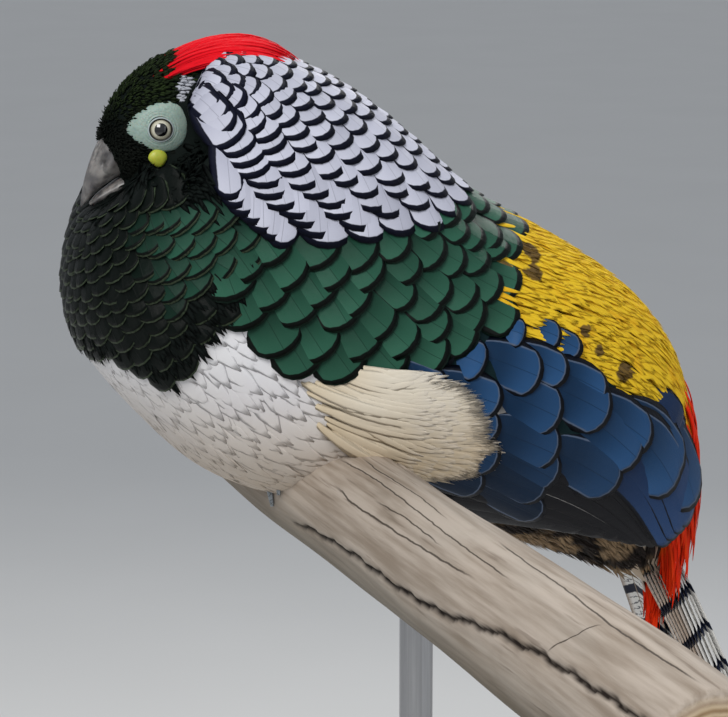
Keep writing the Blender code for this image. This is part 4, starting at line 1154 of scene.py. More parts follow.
class Plumes:
    """Where every tract of the plumage lies."""

    def __init__(self, seed: int = 11) -> None:
        """Start the source of chance."""
        self.rng = np.random.default_rng(seed)

    def jitter(self, count: int, size: float) -> np.ndarray:
        """Small random shifts."""
        return self.rng.normal(0.0, size, count)

    def along_row(self, line: Callable[[np.ndarray], np.ndarray], end_v: float, gap: Callable[[float], float],
                  first: float) -> tuple[np.ndarray, np.ndarray, np.ndarray]:
        """Space feathers along a row that crosses the back.

        Args:
            line: ring places of the row at angles in degrees.
            end_v: angle where the row ends on either side.
            gap: distance to the next feather at an angle, in metres.
            first: where the first feather stands, as a share of the gap.

        Returns:
            The angles of both sides in degrees, the ring places, and the headings square to the row in degrees.
        """
        fine = np.linspace(0, end_v, 160)
        points = BODY.at(line(fine), np.radians(fine))
        step = np.diff(points, axis=0)
        run = np.concatenate([[0], np.cumsum(np.linalg.norm(step, axis=1))])
        along, around, _ = BODY.slopes(line(fine), np.radians(fine))
        ahead = unit(along)
        down = unit(around - ahead * np.sum(around * ahead, axis=1, keepdims=True))
        tangent = np.vstack([step, step[-1:]])
        square = np.degrees(np.arctan2(-np.sum(tangent * ahead, axis=1), np.sum(tangent * down, axis=1)))
        places, at = [], first * gap(0.0)
        while at <= run[-1]:
            places.append(at)
            at += gap(float(np.interp(at, run, fine)))
        places = np.array(places) * run[-1] / places[-1]
        v = np.interp(places, run, fine)
        heading = np.interp(places, run, square)
        other = v[v > 0.5]
        v = np.concatenate([-other[::-1], v])
        return v, line(np.abs(v)), np.concatenate([heading[-len(other):][::-1], heading]) if len(other) else heading

    def cape(self) -> Quills:
        """The broad feathers of the cape, in rows that grow from the nape to the back."""
        edge_u = np.linspace(0.6, 4.2, 80)
        edge_v = read_line(CAPE_FRONT, edge_u)
        edge = BODY.at(edge_u, np.radians(edge_v))
        run = np.concatenate([[0], np.cumsum(np.linalg.norm(np.diff(edge, axis=0), axis=1))])
        first, last, steps = 0.75, 5.97, 19
        back = [first]
        for k in range(steps - 1):
            exposure = (5.4 + 5.0 * k / (steps - 1)) * MM
            here = np.array([back[-1]])
            back.append(float(BODY.move(here, np.zeros(1), np.zeros(1), np.array([exposure]))[0][0]))
        back = first + (np.array(back) - first) * (last - first) / (back[-1] - first)
        rows = []
        for k, back_u in enumerate(back[::-1]):
            stop = run[-1] * (1 - k / (steps - 1))
            end_u, end_v = float(np.interp(stop, run, edge_u)), float(np.interp(stop, run, edge_v)) - 3
            grown = (back_u - first) / (last - first)

            def line(v: np.ndarray) -> np.ndarray:
                """Ring places of the row at angles."""
                return back_u - (back_u - end_u) * (v / end_v) ** 2.6

            def width(v: float) -> float:
                """Width of the feather at an angle."""
                return (9.0 + 14.0 * grown) * (1 + (0.30 + 0.15 * grown) * (abs(v) / 84) ** 2) * MM

            v, u, heading = self.along_row(line, end_v, lambda v: width(v) * 0.66, 0.5 if k % 2 else 0.02)
            share = np.abs(v / end_v)
            heading = np.radians(heading + 10 * share**2 + self.jitter(len(v), 2.5))
            wide = np.array([width(a) for a in v]) * (1 + self.jitter(len(v), 0.05)) * np.where(share > 0.9, 0.6, 1)
            length = (16 + 22 * grown + 10 * share * grown) * MM
            hue = beside(share, grown, self.rng.random(len(v)))
            rise = 0.8 + 1.6 * min(1.0, max(0.0, (back_u - 2.2) / 1.4))
            rows.append(lay_feathers(BODY, u + self.jitter(len(v), 0.02), np.radians(v), heading, length, wide,
                                     (-1.4, 0.3 * rise, rise), self.rng, hue=hue, camber=0.2, thickness=0.42 * MM))
        quills = Quills.joined(rows)
        return quills.kept(~in_hollow(quills.tip, 1.0) & ~in_hollow(quills.mid)).in_cells()

    def mantle(self) -> Quills:
        """The scales of the mantle and shoulders, from under the cape to the wing."""
        rows = []
        for row in range(6):
            share = (5.7 - row) / 5.7
            width = (23.0 + 2.5 * share) * MM

            def line(v: np.ndarray) -> np.ndarray:
                """Ring places of the row at angles."""
                return read_line(CAPE_EDGE, v) * (1 - share) + read_line(MANTLE_EDGE, v) * share

            v, u, _ = self.along_row(line, 101, lambda v: width * 0.76, 0.5 if row % 2 else 0.02)
            keep = ((np.abs(v) > 26) | (row % 2 == 0)) & ((u > 4.05) | (np.abs(v) < 88))
            v, u = v[keep] + self.jitter(keep.sum(), 0.8), u[keep] + self.jitter(keep.sum(), 0.03)
            hue = beside(np.abs(v) / 104, share, self.rng.random(len(v)))
            length = (28 + 8 * np.abs(v) / 100) * MM
            heading = np.radians(16 * (np.abs(v) / 100) ** 2 + self.jitter(len(v), 4.0))
            rows.append(lay_feathers(BODY, u, np.radians(v), heading, length,
                                     width * (1 + self.jitter(len(v), 0.07)), (-1.5, 0.5, 2.3), self.rng, hue=hue,
                                     camber=0.2, thickness=0.42 * MM, ruffle=0.4))
        return Quills.joined(rows).in_cells()

    def breast(self) -> Quills:
        """The dark scales of the breast, greener and broader towards the shoulder."""
        rows = []
        for row, centre in enumerate(np.arange(4.9, 0.9, -0.25)):
            ring = abs(BODY.at(np.array([centre]), np.array([math.pi / 2]))[0][1])

            def width(v: float) -> float:
                """Width of the feather at an angle."""
                shoulder = math.exp(-((v - 98) / 14) ** 2 - ((centre - 3.4) / 1.1) ** 2)
                return (12.0 + 1.2 * centre + 5.0 * shoulder) * MM

            v = spaced(85.0, 180.0, lambda a: math.degrees(width(a) * 0.60 / ring))
            if row % 2:
                v = v + math.degrees(width(120) * 0.33 / ring)
            v = np.concatenate([-v[::-1], v])
            u = centre + self.jitter(len(v), 0.035)
            keep = (u < read_line(BREAST_EDGE, np.abs(v)) + 0.10) & (u > read_line(BREAST_TOP, np.abs(v)))
            u, v = u[keep], v[keep]
            if not len(u):
                continue
            height = BODY.at(u, np.radians(v))[:, 2] / MM
            front = (np.abs(v) - 98) / 30 + np.clip(u - 3.9, 0, 1) * 2.2 + np.clip((height - 99) / 8, 0, 1)
            front = np.clip(front, 0, 1)
            wide = np.array([width(abs(a)) for a in v]) * (1 + self.jitter(len(v), 0.06))
            hue = beside(front, u / 5, self.rng.random(len(v)))
            rows.append(lay_feathers(BODY, u, np.radians(v), np.radians(self.jitter(len(v), 7.0)),
                                     np.full(len(v), 21 * MM), wide, (-1.5, 0.4, 1.7), self.rng, hue=hue, camber=0.2,
                                     thickness=0.36 * MM, ruffle=0.7))
        return Quills.joined(rows).in_cells()

    def tufts(self, low_u: float, high_u: float, spacing: float, exposure: float,
              bounds: Callable[[float], tuple[float, float]], length: float, width: float,
              heights: Sequence[float], spread: float, **more: float) -> Quills:
        """Narrow soft feathers strewn over a stretch of the body.

        Args:
            low_u: first ring place of the tips.
            high_u: last ring place of the tips.
            spacing: distance between neighbours, in millimetres.
            exposure: distance between rows, in millimetres.
            bounds: lowest and highest angle at a ring place, in degrees.
            length: of the feathers, in millimetres.
            width: of the feathers, in millimetres.
            heights: of root, middle and tip, in millimetres.
            spread: how much the ways that they point differ, in degrees.
            **more: passed on.

        Returns:
            The feathers.
        """
        us, vs = [], []
        place = high_u
        while place > low_u:
            ring = abs(BODY.at(np.array([place]), np.array([math.pi / 2]))[0][1])
            start, end = bounds(place)
            step = math.degrees(spacing * MM / ring)
            v = np.arange(start + self.rng.random() * step, end, step)
            v = v + self.jitter(len(v), step * 0.3)
            us.append(np.full(len(v), place) + self.jitter(len(v), 0.06))
            vs.append(v)
            gap = np.linalg.norm(np.diff(BODY.at(np.array([place, place - 0.1]), np.radians([90.0, 90.0])), axis=0))
            place -= exposure * MM / (gap / 0.1)
        u, v = np.concatenate(us), np.concatenate(vs)
        u = np.concatenate([u, u + self.jitter(len(u), 0.05)])
        v = np.concatenate([v, -v])
        heading = np.radians(self.jitter(len(u), spread))
        wide = width * MM * self.rng.uniform(0.75, 1.2, len(u))
        long = length * MM * self.rng.uniform(0.85, 1.15, len(u))
        hue = beside(np.abs(v) / 180, u / 13, self.rng.random(len(u)))
        return lay_feathers(BODY, u, np.radians(v), heading, long, wide, heights, self.rng, hue=hue, **more)

    def belly(self) -> Quills:
        """The white silky feathers of the lower breast, belly and flanks."""
        def bounds(u: float) -> tuple[float, float]:
            """From the tract's edge to the belly's middle."""
            return read_line(BELLY_TOP, u) - 5, 180.0

        quills = self.tufts(3.4, 9.6, 5.0, 7.0, bounds, 34, 10.0, (-1.6, -0.50, -0.42), spread=6, camber=0.06,
                            thickness=0.08 * MM, ruffle=0.15)
        v, u = quills.hue[:, 0] * 180, quills.hue[:, 1] * 13
        return quills.kept(u > read_line(BREAST_EDGE, v) - 0.15)

    def vent(self) -> Quills:
        """The dark downy feathers behind the legs."""
        def bounds(u: float) -> tuple[float, float]:
            """From the tract's edge to the belly's middle."""
            return read_line(BELLY_TOP, u) - 4, 180.0

        return self.tufts(9.3, 13.2, 3.2, 4.4, bounds, 20, 3.4, (-1.0, 0.8, 2.0), spread=16, camber=0.15,
                          thickness=0.3 * MM, ruffle=1.5)

    def rump(self) -> Quills:
        """The golden hair-like feathers of the back and rump."""
        def bounds(u: float) -> tuple[float, float]:
            """From the back's middle to the tract's edge."""
            return 0.0, read_line(RUMP_EDGE, u)

        quills = self.tufts(6.7, 12.3, 2.6, 4.4, bounds, 27, 3.6, (-1.5, 0.7, 1.7), spread=10, camber=0.2,
                            thickness=0.3 * MM, ruffle=0.9)
        v, u = quills.hue[:, 0] * 180, quills.hue[:, 1] * 13
        return quills.kept(u > read_line(MANTLE_EDGE, v) + 0.05)

    def coverts(self) -> Quills:
        """The red feathers that hang from the end of the rump over the tail's root."""
        rng = self.rng
        count = 420
        v = np.radians(rng.uniform(-84, 84, count))
        u = rng.uniform(10.2, 12.9, count)
        root = BODY.at(u, v)
        along, _, normal = BODY.slopes(u, v)
        down = np.array((-0.10, 0.0, -1.0))
        length = (rng.uniform(26, 44, count) + 8 * (u - 10.2)) * MM
        first = unit(unit(along) + normal * 0.05)
        second = unit(down + unit(along) * 0.5 + normal * 0.02 + rng.normal(0, 0.06, (count, 3)))
        half = root + first * (length * 0.5)[:, None] + normal * 1.4 * MM
        tip = half + second * (length * 0.5)[:, None]
        root = root - normal * 1.5 * MM
        side = np.cross(unit(tip - root), normal)
        hue = beside(u / 13, np.abs(v), rng.random(count))
        return quills_through(root, half, tip, side, normal, unit(normal + np.array((0.1, 0, 0))),
                              rng.uniform(3.0, 5.2, count) * MM, 0.2, 0.35 * MM, hue, rng.random(count),
                              beside(u / 14, v / 4 + 0.5))

    def flank(self, count: int, reach: float, widths: tuple[float, float], inner: float, sway: float,
              heights: tuple[float, float, float]) -> Quills:
        """Cream plumes that spread from the flank over the wing's lower edge.

        Args:
            count: how many there are on each side.
            reach: length of the longest, in millimetres.
            widths: the narrowest and the broadest, in millimetres.
            inner: how far inside the fan's edge tips may end, in rings.
            sway: how much the ways that they point differ, in degrees.
            heights: of root, middle and tip over the body, in millimetres.

        Returns:
            The feathers of both sides.
        """
        rng = self.rng
        share = rng.random(count)
        inward = rng.random(count) ** 1.3 * inner
        place = share * (len(FLANK_FAN) - 1)
        inward = inward * np.interp(share, (0, 0.3, 0.6, 1), (0.3, 0.7, 1.0, 0.8))
        u = np.interp(place, range(len(FLANK_FAN)), [f[0] for f in FLANK_FAN]) - inward
        v = np.interp(place, range(len(FLANK_FAN)), [f[1] for f in FLANK_FAN]) + rng.normal(0, 0.8, count)
        heading = np.radians(np.interp(share, (0, 0.3, 0.6, 1), (-30, -20, -9, 9)) + rng.normal(0, sway, count))
        whole = np.interp(share, (0, 0.25, 0.55, 0.8, 1), (0.55, 0.85, 1.0, 0.85, 0.6))
        length = reach * whole * rng.uniform(0.9, 1.05, count) * MM
        hue = beside(share, u / 9, rng.random(count))
        return Quills.joined(lay_feathers(BODY, u, np.radians(v) * sign, heading, length,
                                          rng.uniform(*widths, count) * MM, heights, rng, hue=hue, camber=0.12,
                                          thickness=0.16 * MM, ruffle=0.4) for sign in (1, -1))

    def wing_scales(self) -> Quills:
        """The blue coverts of both wings, each in its own place."""
        rows = np.array(WING_SCALES, float)[::-1]
        u, v, width, length = rows.T
        grown = np.clip((u - 7.0) / 4.6, 0, 1)
        low = np.clip((v - 60) / 60, 0, 1)
        parts = []
        for sign in (1, -1):
            hue = beside(0.75 * low**1.5 + 0.25 * grown, low, self.rng.random(len(u)))
            parts.append(lay_feathers(BODY, u + self.jitter(len(u), 0.01), np.radians(v) * sign,
                                      np.radians(4 + self.jitter(len(u), 2.0)), length * MM, width * MM,
                                      (-1.3, 0.5, 2.2), self.rng, lift=wing_height, hue=hue, camber=0.2,
                                      thickness=0.42 * MM))
        return Quills.joined(parts).in_cells()

    def flight(self) -> Quills:
        """The secondaries and primaries of both wings."""
        parts = []
        for kind, count, first_u, last_u, first_v, last_v, length, width, tilt in (
            (0.0, 6, 11.95, 11.8, 58, 92, 74, 21, 4.0), (1.0, 9, 11.7, 9.5, 98, 128, 92, 13, 6.0),
        ):
            share = np.linspace(0, 1, count)
            u, v = first_u + (last_u - first_u) * share ** 1.4, first_v + (last_v - first_v) * share
            hue = beside(kind, share, self.rng.random(count))
            for sign in (1, -1):
                parts.append(lay_feathers(BODY, u, np.radians(v) * sign, np.radians(3.0 - 14.0 * share * kind),
                                          np.full(count, length * MM), np.full(count, width * MM),
                                          (-1.0, 0.2 - 0.8 * kind, 1.0 - 1.4 * kind), self.rng, lift=wing_height,
                                          hue=hue, camber=0.12, thickness=0.45 * MM, roll=tilt))
        return Quills.joined(parts).in_cells()

    def crest(self) -> Quills:
        """The narrow red feathers from the back of the crown over the nape."""
        rng = self.rng
        count = 300
        line = np.array(CREST_LINE, float)
        layer = rng.random(count)
        share = rng.uniform(-1, 1, count)
        first = -0.55 + 1.5 * rng.random(count) * (1 - 0.4 * layer)
        last = np.minimum(first + rng.uniform(2.6, 3.6, count) + 2.0 * rng.random(count), 6.15 - 1.0 * share**2)
        spots = []
        for part in (0.0, 0.5, 1.0):
            place = first + (last - first) * part
            xz = blend(line, place)
            y = -share * (11.5 + 8.5 * np.sin(np.clip(place / 4.0, 0, 1) * math.pi / 2))
            sink = -2.0 if part == 0 else 0.0
            z = xz[:, 1] - 5.4 * (y / 15) ** 2 + sink + (layer - 1) * 2.2 + 1.4
            spots.append(beside(xz[:, 0], y, z) * MM)
        root, half, tip = spots
        side = beside(np.zeros(count), -np.ones(count), -0.66 * share)
        out = np.cross(unit(tip - root), -side)
        out *= np.sign(out[:, 2:3])
        hue = beside(first, layer, rng.random(count))
        return quills_through(root, half, tip, side, out, out, rng.uniform(1.8, 3.0, count) * MM, 0.3, 0.4 * MM, hue,
                              rng.random(count), beside(0.5 + 0.3 * share, 0.35 + first / 2))

    def tail(self) -> Quills:
        """The tail's graduated feathers, the long pair on top."""
        parts = []
        for pair, share in enumerate(TAIL_SHARES):
            for sign in (1, -1):
                points = []
                for t in (0.0, 0.5, 1.0):
                    run = TAIL_LENGTH * share * t
                    mean, bend = math.radians(64 + 4.5 * t), math.radians(64 + 9 * t)
                    over = np.array((math.sin(bend), 0.0, math.cos(bend)))
                    out = ((3.2 + 1.1 * pair) * min(1.0, 0.35 + 2.2 * t) + 2.2 * pair * t) * sign
                    points.append(np.array((163 * MM + math.cos(mean) * run, out * MM, -66 * MM - math.sin(mean) * run))
                                  + over * (9.5 - 2.2 * pair) * MM)
                root, half, tip = (p[None] for p in points)
                ahead = unit(tip - root)
                normal = unit(np.array([[math.sin(math.radians(68)), 0.30 * sign, math.cos(math.radians(68))]]))
                side = np.cross(ahead, normal)
                hue = np.array([[pair / 8, float(sign), self.rng.random()]])
                parts.append(quills_through(root, half, tip, side, normal, normal, np.array([(26 - 1.0 * pair) * MM]),
                                            0.16, 0.8 * MM, hue, self.rng.random(1)))
        return Quills.joined(parts).in_cells()

    def head(self) -> Quills:
        """The short feathers of crown, face and throat, none on the bare skin round the eye."""
        rng = self.rng
        count = 7600
        u, v = rng.uniform(0.6, 5.95, count), rng.uniform(-math.pi, math.pi, count)
        points = HEAD.at(u, v)
        x, z = points[:, 0] / MM, points[:, 2] / MM
        side_on = np.abs(points[:, 1]) > 8 * MM
        wattle = np.hypot(x - WATTLE_AT[0], z - WATTLE_AT[1]) < 4.4
        bare = side_on & ((bare_share(x, z) < 0.97) | wattle)
        back = np.array((1.0, 0.0, -0.15))
        normal = HEAD.slopes(u, v)[2]
        way = unit(back - normal * (normal @ back)[:, None] + rng.normal(0, 0.10, (count, 3)))
        length = np.interp(x, (-100, -80, -50), (2.2, 3.4, 6.5)) * MM
        width = length * 0.36
        root = points - normal * 1.2 * MM
        sag = (length**2 / (30 * MM))[:, None]
        half = points + way * (length * 0.5)[:, None] + normal * (0.15 * MM - sag / 4)
        tip = points + way * length[:, None] + normal * (0.15 * MM - sag)
        side = np.cross(way, normal)
        crown = np.clip((z - (139 + 0.25 * (x + 100))) / 8, 0, 1)
        nape = side_on & (((x + 66.3) / 4.2) ** 2 + ((z - 155.5) / 6.0) ** 2 < 1.0)
        hue = beside(crown, nape, rng.random(count))
        spot = beside(u / 6, v / (2 * math.pi) + 0.5)
        quills = quills_through(root, half, tip, side, normal, normal, width, 0.3, 0.35 * MM, hue, rng.random(count),
                                np.clip(spot, 0.003, 0.997))
        return quills.kept(~bare & (x < -46))

    def ruff(self, skin: bpy.types.Object) -> Quills:
        """The black feathers behind and below the eye, where the ruff stands off the head.

        Args:
            skin: the skin that they grow from.

        Returns:
            The feathers.
        """
        rng = self.rng
        faces = skin.data.polygons
        middles, normals = vectors(faces, "center") - PERCH, vectors(faces, "normal")
        near = in_hollow(middles, 3.0)
        middles, normals = middles[near], normals[near]
        flank = np.abs(on_head(middles[:, 0] / MM, middles[:, 2] / MM)[0][:, 1])
        seen_x = middles[:, 0] + 0.364 * (np.abs(middles[:, 1]) - 18.5 * MM)
        limit = np.interp(middles[:, 2] / MM, (112, 135), (-54, -61)) * MM
        wall = (np.abs(middles[:, 1]) > flank + 0.8 * MM) & (seen_x < limit)
        middles, normals = np.repeat(middles[wall], 2, axis=0), np.repeat(normals[wall], 2, axis=0)
        count = len(middles)
        middles = middles + rng.normal(0, 0.8 * MM, (count, 3)) * (1 - normals**2)
        outward = beside(0.75, 0.5 * np.sign(middles[:, 1]), -0.35)
        way = unit(outward - normals * np.sum(normals * outward, axis=1, keepdims=True)
                   + rng.normal(0, 0.15, (count, 3)))
        length = rng.uniform(5.5, 8.5, count) * MM
        root, tip = middles - normals * 0.8 * MM, middles + way * length[:, None] + normals * 0.7 * MM
        half = (root + tip) / 2 + normals * 0.5 * MM
        hue = beside(np.zeros(count), np.zeros(count), rng.random(count))
        spot = beside(0.5 + middles[:, 1] * 8, 0.5 + middles[:, 2] - 0.13)
        return quills_through(root, half, tip, np.cross(way, normals), normals, normals, length * 0.34, 0.3, 0.3 * MM,
                              hue, rng.random(count), np.clip(spot, 0.003, 0.997))

    def throat(self) -> Quills:
        """The black feathers between face and breast, and the pale ones at the nape's side."""
        def bounds(u: float) -> tuple[float, float]:
            """From the tract's edge to the belly's middle."""
            return read_line(CAPE_FRONT, u) - 8, 180.0

        quills = self.tufts(0.3, 3.5, 2.4, 3.0, bounds, 13, 3.4, (-1.2, 0.3, 1.1), spread=12, camber=0.2,
                            thickness=0.3 * MM, ruffle=0.6)
        v, u = quills.hue[:, 0] * 180, quills.hue[:, 1] * 13
        clear = ~in_hollow(quills.tip, 0.5) & ~in_hollow(quills.mid, 0.5)
        face = quills.kept((u < read_line(BREAST_TOP, v) + 0.35) & clear)
        count = 520
        angle = self.rng.uniform(97, 180, count) * self.rng.choice((-1, 1), count)
        place = read_line(BREAST_EDGE, np.abs(angle)) + self.rng.uniform(-0.35, 0.16, count)
        hue = beside(np.abs(angle) / 180, place / 13, self.rng.random(count))
        edge = lay_feathers(BODY, place, np.radians(angle), np.radians(self.jitter(count, 10.0)),
                            np.full(count, 15 * MM), self.rng.uniform(2.6, 4.4, count) * MM, (-1.0, 0.8, 1.3), self.rng,
                            hue=hue, camber=0.2, thickness=0.3 * MM, ruffle=0.8)
        return Quills.joined((face, edge))


@dataclass(frozen=True)
class ScaleLook:
    """How a scaly feather is marked, from its field to its rim; widths in millimetres."""

    name: str
    border: Colour
    deep: Colour
    bright: Colour
    edge: float
    line: Colour | None = None
    fringe: Colour | None = None
    roughness: float = 0.42
    dark: Colour | None = None

    def material(self) -> bpy.types.Material:
        """A crisp dark border round a field that brightens to its tip: painted shade at the root, painted sheen at the
        tip.
        """
        vane = Vane(Finish(self.name, roughness=self.roughness, specular=0.12))
        nodes = vane.nodes
        barbs = vane.barbs()
        # painted light: shade towards the covered root, sheen towards the tip and on one side of the shaft
        painted_light = vane.t.step(0.35, 0.95) * (vane.s.step(-0.9, 0.7) * 0.35 + 0.65)
        colour = nodes.mix(painted_light, self.deep, self.bright)
        colour = nodes.mix(barbs * 0.14 + vane.chance * 0.30, colour, tuple(0.5 * c for c in self.deep))
        colour = nodes.mix(vane.shaft(0.2) * 0.6, colour, tuple(0.5 * c for c in self.deep))
        if self.dark:
            colour = nodes.mix(vane.hue[0].step(0.12, 0.85), colour, self.dark)
        if self.line:
            colour = nodes.mix(vane.rim.step(self.edge + 1.0, self.edge + 0.45), colour, self.line)
        colour = nodes.mix(vane.rim.step(self.edge + 0.22, self.edge - 0.22), colour, self.border)
        if self.fringe:
            broken = nodes.noise(1.1, 2.0, nodes.vector(vane.side, vane.run, vane.chance * 50.0)).step(0.3, 0.6)
            colour = nodes.mix(vane.rim.step(0.95, 0.6) * (broken * 0.6 + 0.4), colour, self.fringe)
        return vane.dressed(colour, barbs, 0.4)


# deep and bright: a field's colour from its painted shade at the root to its painted sheen at the tip
SCALE_LOOKS = (
    ScaleLook("cape", (0.003, 0.004, 0.014), (0.48, 0.49, 0.60), (0.66, 0.67, 0.78), 2.9, roughness=0.5),
    ScaleLook("mantle", (0.001, 0.003, 0.002), (0.004, 0.027, 0.016), (0.036, 0.140, 0.088), 3.0,
              fringe=(0.008, 0.028, 0.018), roughness=0.4),
    ScaleLook("breast", (0.001, 0.003, 0.002), (0.003, 0.018, 0.012), (0.026, 0.105, 0.066), 2.1,
              fringe=(0.08, 0.11, 0.065), roughness=0.4, dark=(0.001, 0.003, 0.002)),
    ScaleLook("wing", (0.001, 0.002, 0.006), (0.005, 0.028, 0.075), (0.030, 0.105, 0.260), 2.2,
              line=(0.08, 0.11, 0.17), roughness=0.36, dark=(0.003, 0.012, 0.030)),
)


def soft_material(name: str, base: Colour, shade: Colour, tint: Callable[[Vane, object], object] | None = None,
                  relief: float = 0.4, pitch: float = 0.45) -> bpy.types.Material:
    """A soft feather with loose barbs, darker towards its root as painted shade.

    Args:
        name: the material's name.
        base: its colour.
        shade: its colour in the painted shade at the root and between the barbs; it also darkens single feathers at
            random.
        tint: changes the colour by place, if given.
        relief: strength of the barbs' relief.
        pitch: of the barbs, in millimetres.

    Returns:
        The material.
    """
    vane = Vane(Finish(name, roughness=0.7, specular=0.08))
    nodes = vane.nodes
    barbs = vane.barbs(pitch=pitch, slant=2.2, rough=0.8)
    # painted shade towards the root, which lies under the feathers over it
    colour = nodes.mix(vane.t.step(0.0, 0.6), shade, base)
    if tint:
        colour = tint(vane, colour)
    # painted shade between the barbs, and single feathers darker at random
    colour = nodes.mix(barbs * 0.14 + vane.chance * 0.12, colour, shade)
    return vane.dressed(colour, barbs, relief)


def plumage_materials() -> dict[str, bpy.types.Material]:
    """All feather materials by name."""
    made: dict[str, bpy.types.Material] = {}
    for look in SCALE_LOOKS:
        made[look.name] = look.material()
    made["flight"] = flight_material()

    def golden(vane: Vane, colour: object) -> object:
        """Gold with paler streaks, dark spots and red feathers at the end."""
        nodes = vane.nodes
        place = nodes.place()
        streak = nodes.noise(60.0, 2.0, place, stretch=(1.0, 2.0, 1.0)).step(0.52, 0.75)
        colour = nodes.mix(streak * 0.5, colour, (0.80, 0.36, 0.012))
        wobble = (nodes.noise(160.0, 2.0, place) - 0.5) * 0.010
        mirrored = nodes.vector_maths("ABSOLUTE", nodes.vector_maths("SUBTRACT", place, tuple(PERCH)))
        for spot, size in RUMP_SPOTS:
            far = nodes.measure("DISTANCE", mirrored, tuple(c * MM for c in spot))
            near = (far + wobble).step(size * MM, (size - 1.6) * MM)
            colour = nodes.mix(near * 0.93, colour, (0.020, 0.016, 0.034))
        late = (vane.hue[1] * 13.0 + vane.chance * 0.7 - 0.35).step(10.6, 11.3)
        return nodes.mix(late * vane.t.step(0.1, 0.6), colour, (0.74, 0.012, 0.004))

    made["rump"] = soft_material("rump_feather", (0.90, 0.60, 0.030), (0.74, 0.40, 0.012), golden)

    def creamy(vane: Vane, colour: object) -> object:
        """White with greyer patches, browner and darker below: partly the belly's own beige, partly painted shade."""
        nodes = vane.nodes
        _, _, z = nodes.split(nodes.place())
        cloud = nodes.noise(30.0, 2.0, nodes.place())
        colour = nodes.mix(cloud.step(0.4, 0.75) * 0.4, colour, (0.66, 0.68, 0.78))
        # browner and darker below: partly the belly's own beige, partly painted shade on the underside
        return nodes.mix(z.step(0.985, 0.895) * 0.85, colour, (0.46, 0.35, 0.23))

    made["belly"] = soft_material("belly_feather", (0.78, 0.78, 0.80), (0.74, 0.73, 0.73), creamy, 0.12)

    def warm(vane: Vane, colour: object) -> object:
        """Cream, browner and darker below, partly its own tone and partly painted shade, and paler at the tips."""
        nodes = vane.nodes
        _, _, z = nodes.split(nodes.place())
        # browner and darker below: partly the plumes' own tone, partly painted shade on the underside
        colour = nodes.mix(z.step(0.962, 0.915) * 0.75, colour, (0.44, 0.32, 0.18))
        return nodes.mix(vane.t.step(0.75, 1.0) * 0.5, colour, (0.66, 0.62, 0.58))

    made["flank"] = soft_material("flank_feather", (0.74, 0.68, 0.57), (0.64, 0.54, 0.39), warm, 0.15)

    def mottled(vane: Vane, colour: object) -> object:
        """Brown patches."""
        nodes = vane.nodes
        patch = nodes.noise(42.0, 2.0, nodes.place()).step(0.42, 0.55)
        return nodes.mix(patch, colour, (0.34, 0.23, 0.13))

    made["vent"] = soft_material("vent_feather", (0.020, 0.014, 0.011), (0.010, 0.008, 0.007), mottled)

    def scarlet(vane: Vane, colour: object) -> object:
        """Red from near the root on."""
        return vane.nodes.mix(vane.t.step(0.08, 0.4), colour, (0.82, 0.010, 0.004))

    made["covert"] = soft_material("covert_feather", (0.82, 0.012, 0.004), (0.70, 0.20, 0.01), scarlet, pitch=0.7)
    made["crest"] = soft_material("crest_feather", (0.88, 0.008, 0.018), (0.52, 0.003, 0.010), pitch=0.7)

    def green_black(vane: Vane, colour: object) -> object:
        """Black, greener on the crown, white at the nape's side."""
        nodes = vane.nodes
        tone = nodes.mix(vane.chance, (0.024, 0.040, 0.012), (0.008, 0.014, 0.006))
        return nodes.mix(vane.hue[1], nodes.mix(vane.hue[0], colour, tone), (0.56, 0.58, 0.64))

    made["head"] = soft_material("head_feather", (0.006, 0.008, 0.006), (0.003, 0.004, 0.003), green_black)
    made["throat"] = soft_material("throat_feather", (0.005, 0.008, 0.007), (0.003, 0.004, 0.004))
    made["tail"] = tail_material()
    return made


def flight_material() -> bpy.types.Material:
    """Secondaries and primaries: blue-black with a pale edge on the outer ones."""
    vane = Vane(Finish("flight_feather", roughness=0.42, specular=0.15))
    nodes = vane.nodes
    barbs = vane.barbs(pitch=0.5, slant=1.4)
    blue = nodes.mix(vane.t.step(0.2, 1.0), (0.006, 0.022, 0.070), (0.014, 0.055, 0.165))
    blue = nodes.mix(vane.rim.step(1.8, 1.3), blue, (0.002, 0.004, 0.010))
    pale = vane.rim.step(0.7, 0.4) * vane.s.step(-0.1, 0.2) * vane.hue[2].step(0.55, 0.6)
    dark = nodes.mix(pale, (0.003, 0.003, 0.005), (0.50, 0.49, 0.47))
    colour = nodes.mix(vane.hue[0], blue, dark)
    colour = nodes.mix(barbs * 0.15, colour, (0.004, 0.006, 0.012))
    return vane.dressed(colour, barbs, 0.35)


def tail_material() -> bpy.types.Material:
    """Tail feathers: white with blue-black bars and fine wavy lines between them."""
    vane = Vane(Finish("tail_feather", roughness=0.5, specular=0.15))
    nodes = vane.nodes
    barbs = vane.barbs(pitch=0.8, slant=1.3)
    bent = vane.run - vane.side * 0.55 + vane.ripple * 2.0
    bars = ((bent / 22.0).fract() - 0.5)
    bars = (abs(bars) * 22.0).step(2.9, 2.3)
    wave = nodes.noise(0.55, 2.0, nodes.vector(vane.run * 1.2, vane.side * 0.5, vane.chance * 40.0))
    fine = (abs(((bent / 3.6) + wave * 1.6).fract() - 0.5) * 3.6).step(0.55, 0.35) * vane.side.step(13.0, 3.0)
    colour = nodes.mix(fine * 0.85, (0.80, 0.79, 0.76), (0.03, 0.035, 0.05))
    colour = nodes.mix(bars, colour, (0.006, 0.010, 0.028))
    warm = vane.hue[0].step(0.15, 0.5) * vane.side.step(5.0, 9.0)
    colour = nodes.mix(warm * 0.75, colour, nodes.mix(bars, (0.28, 0.17, 0.09), (0.01, 0.008, 0.01)))
    colour = nodes.mix(vane.shaft(0.5), colour, (0.30, 0.24, 0.18))
    return vane.dressed(colour, barbs, 0.35)


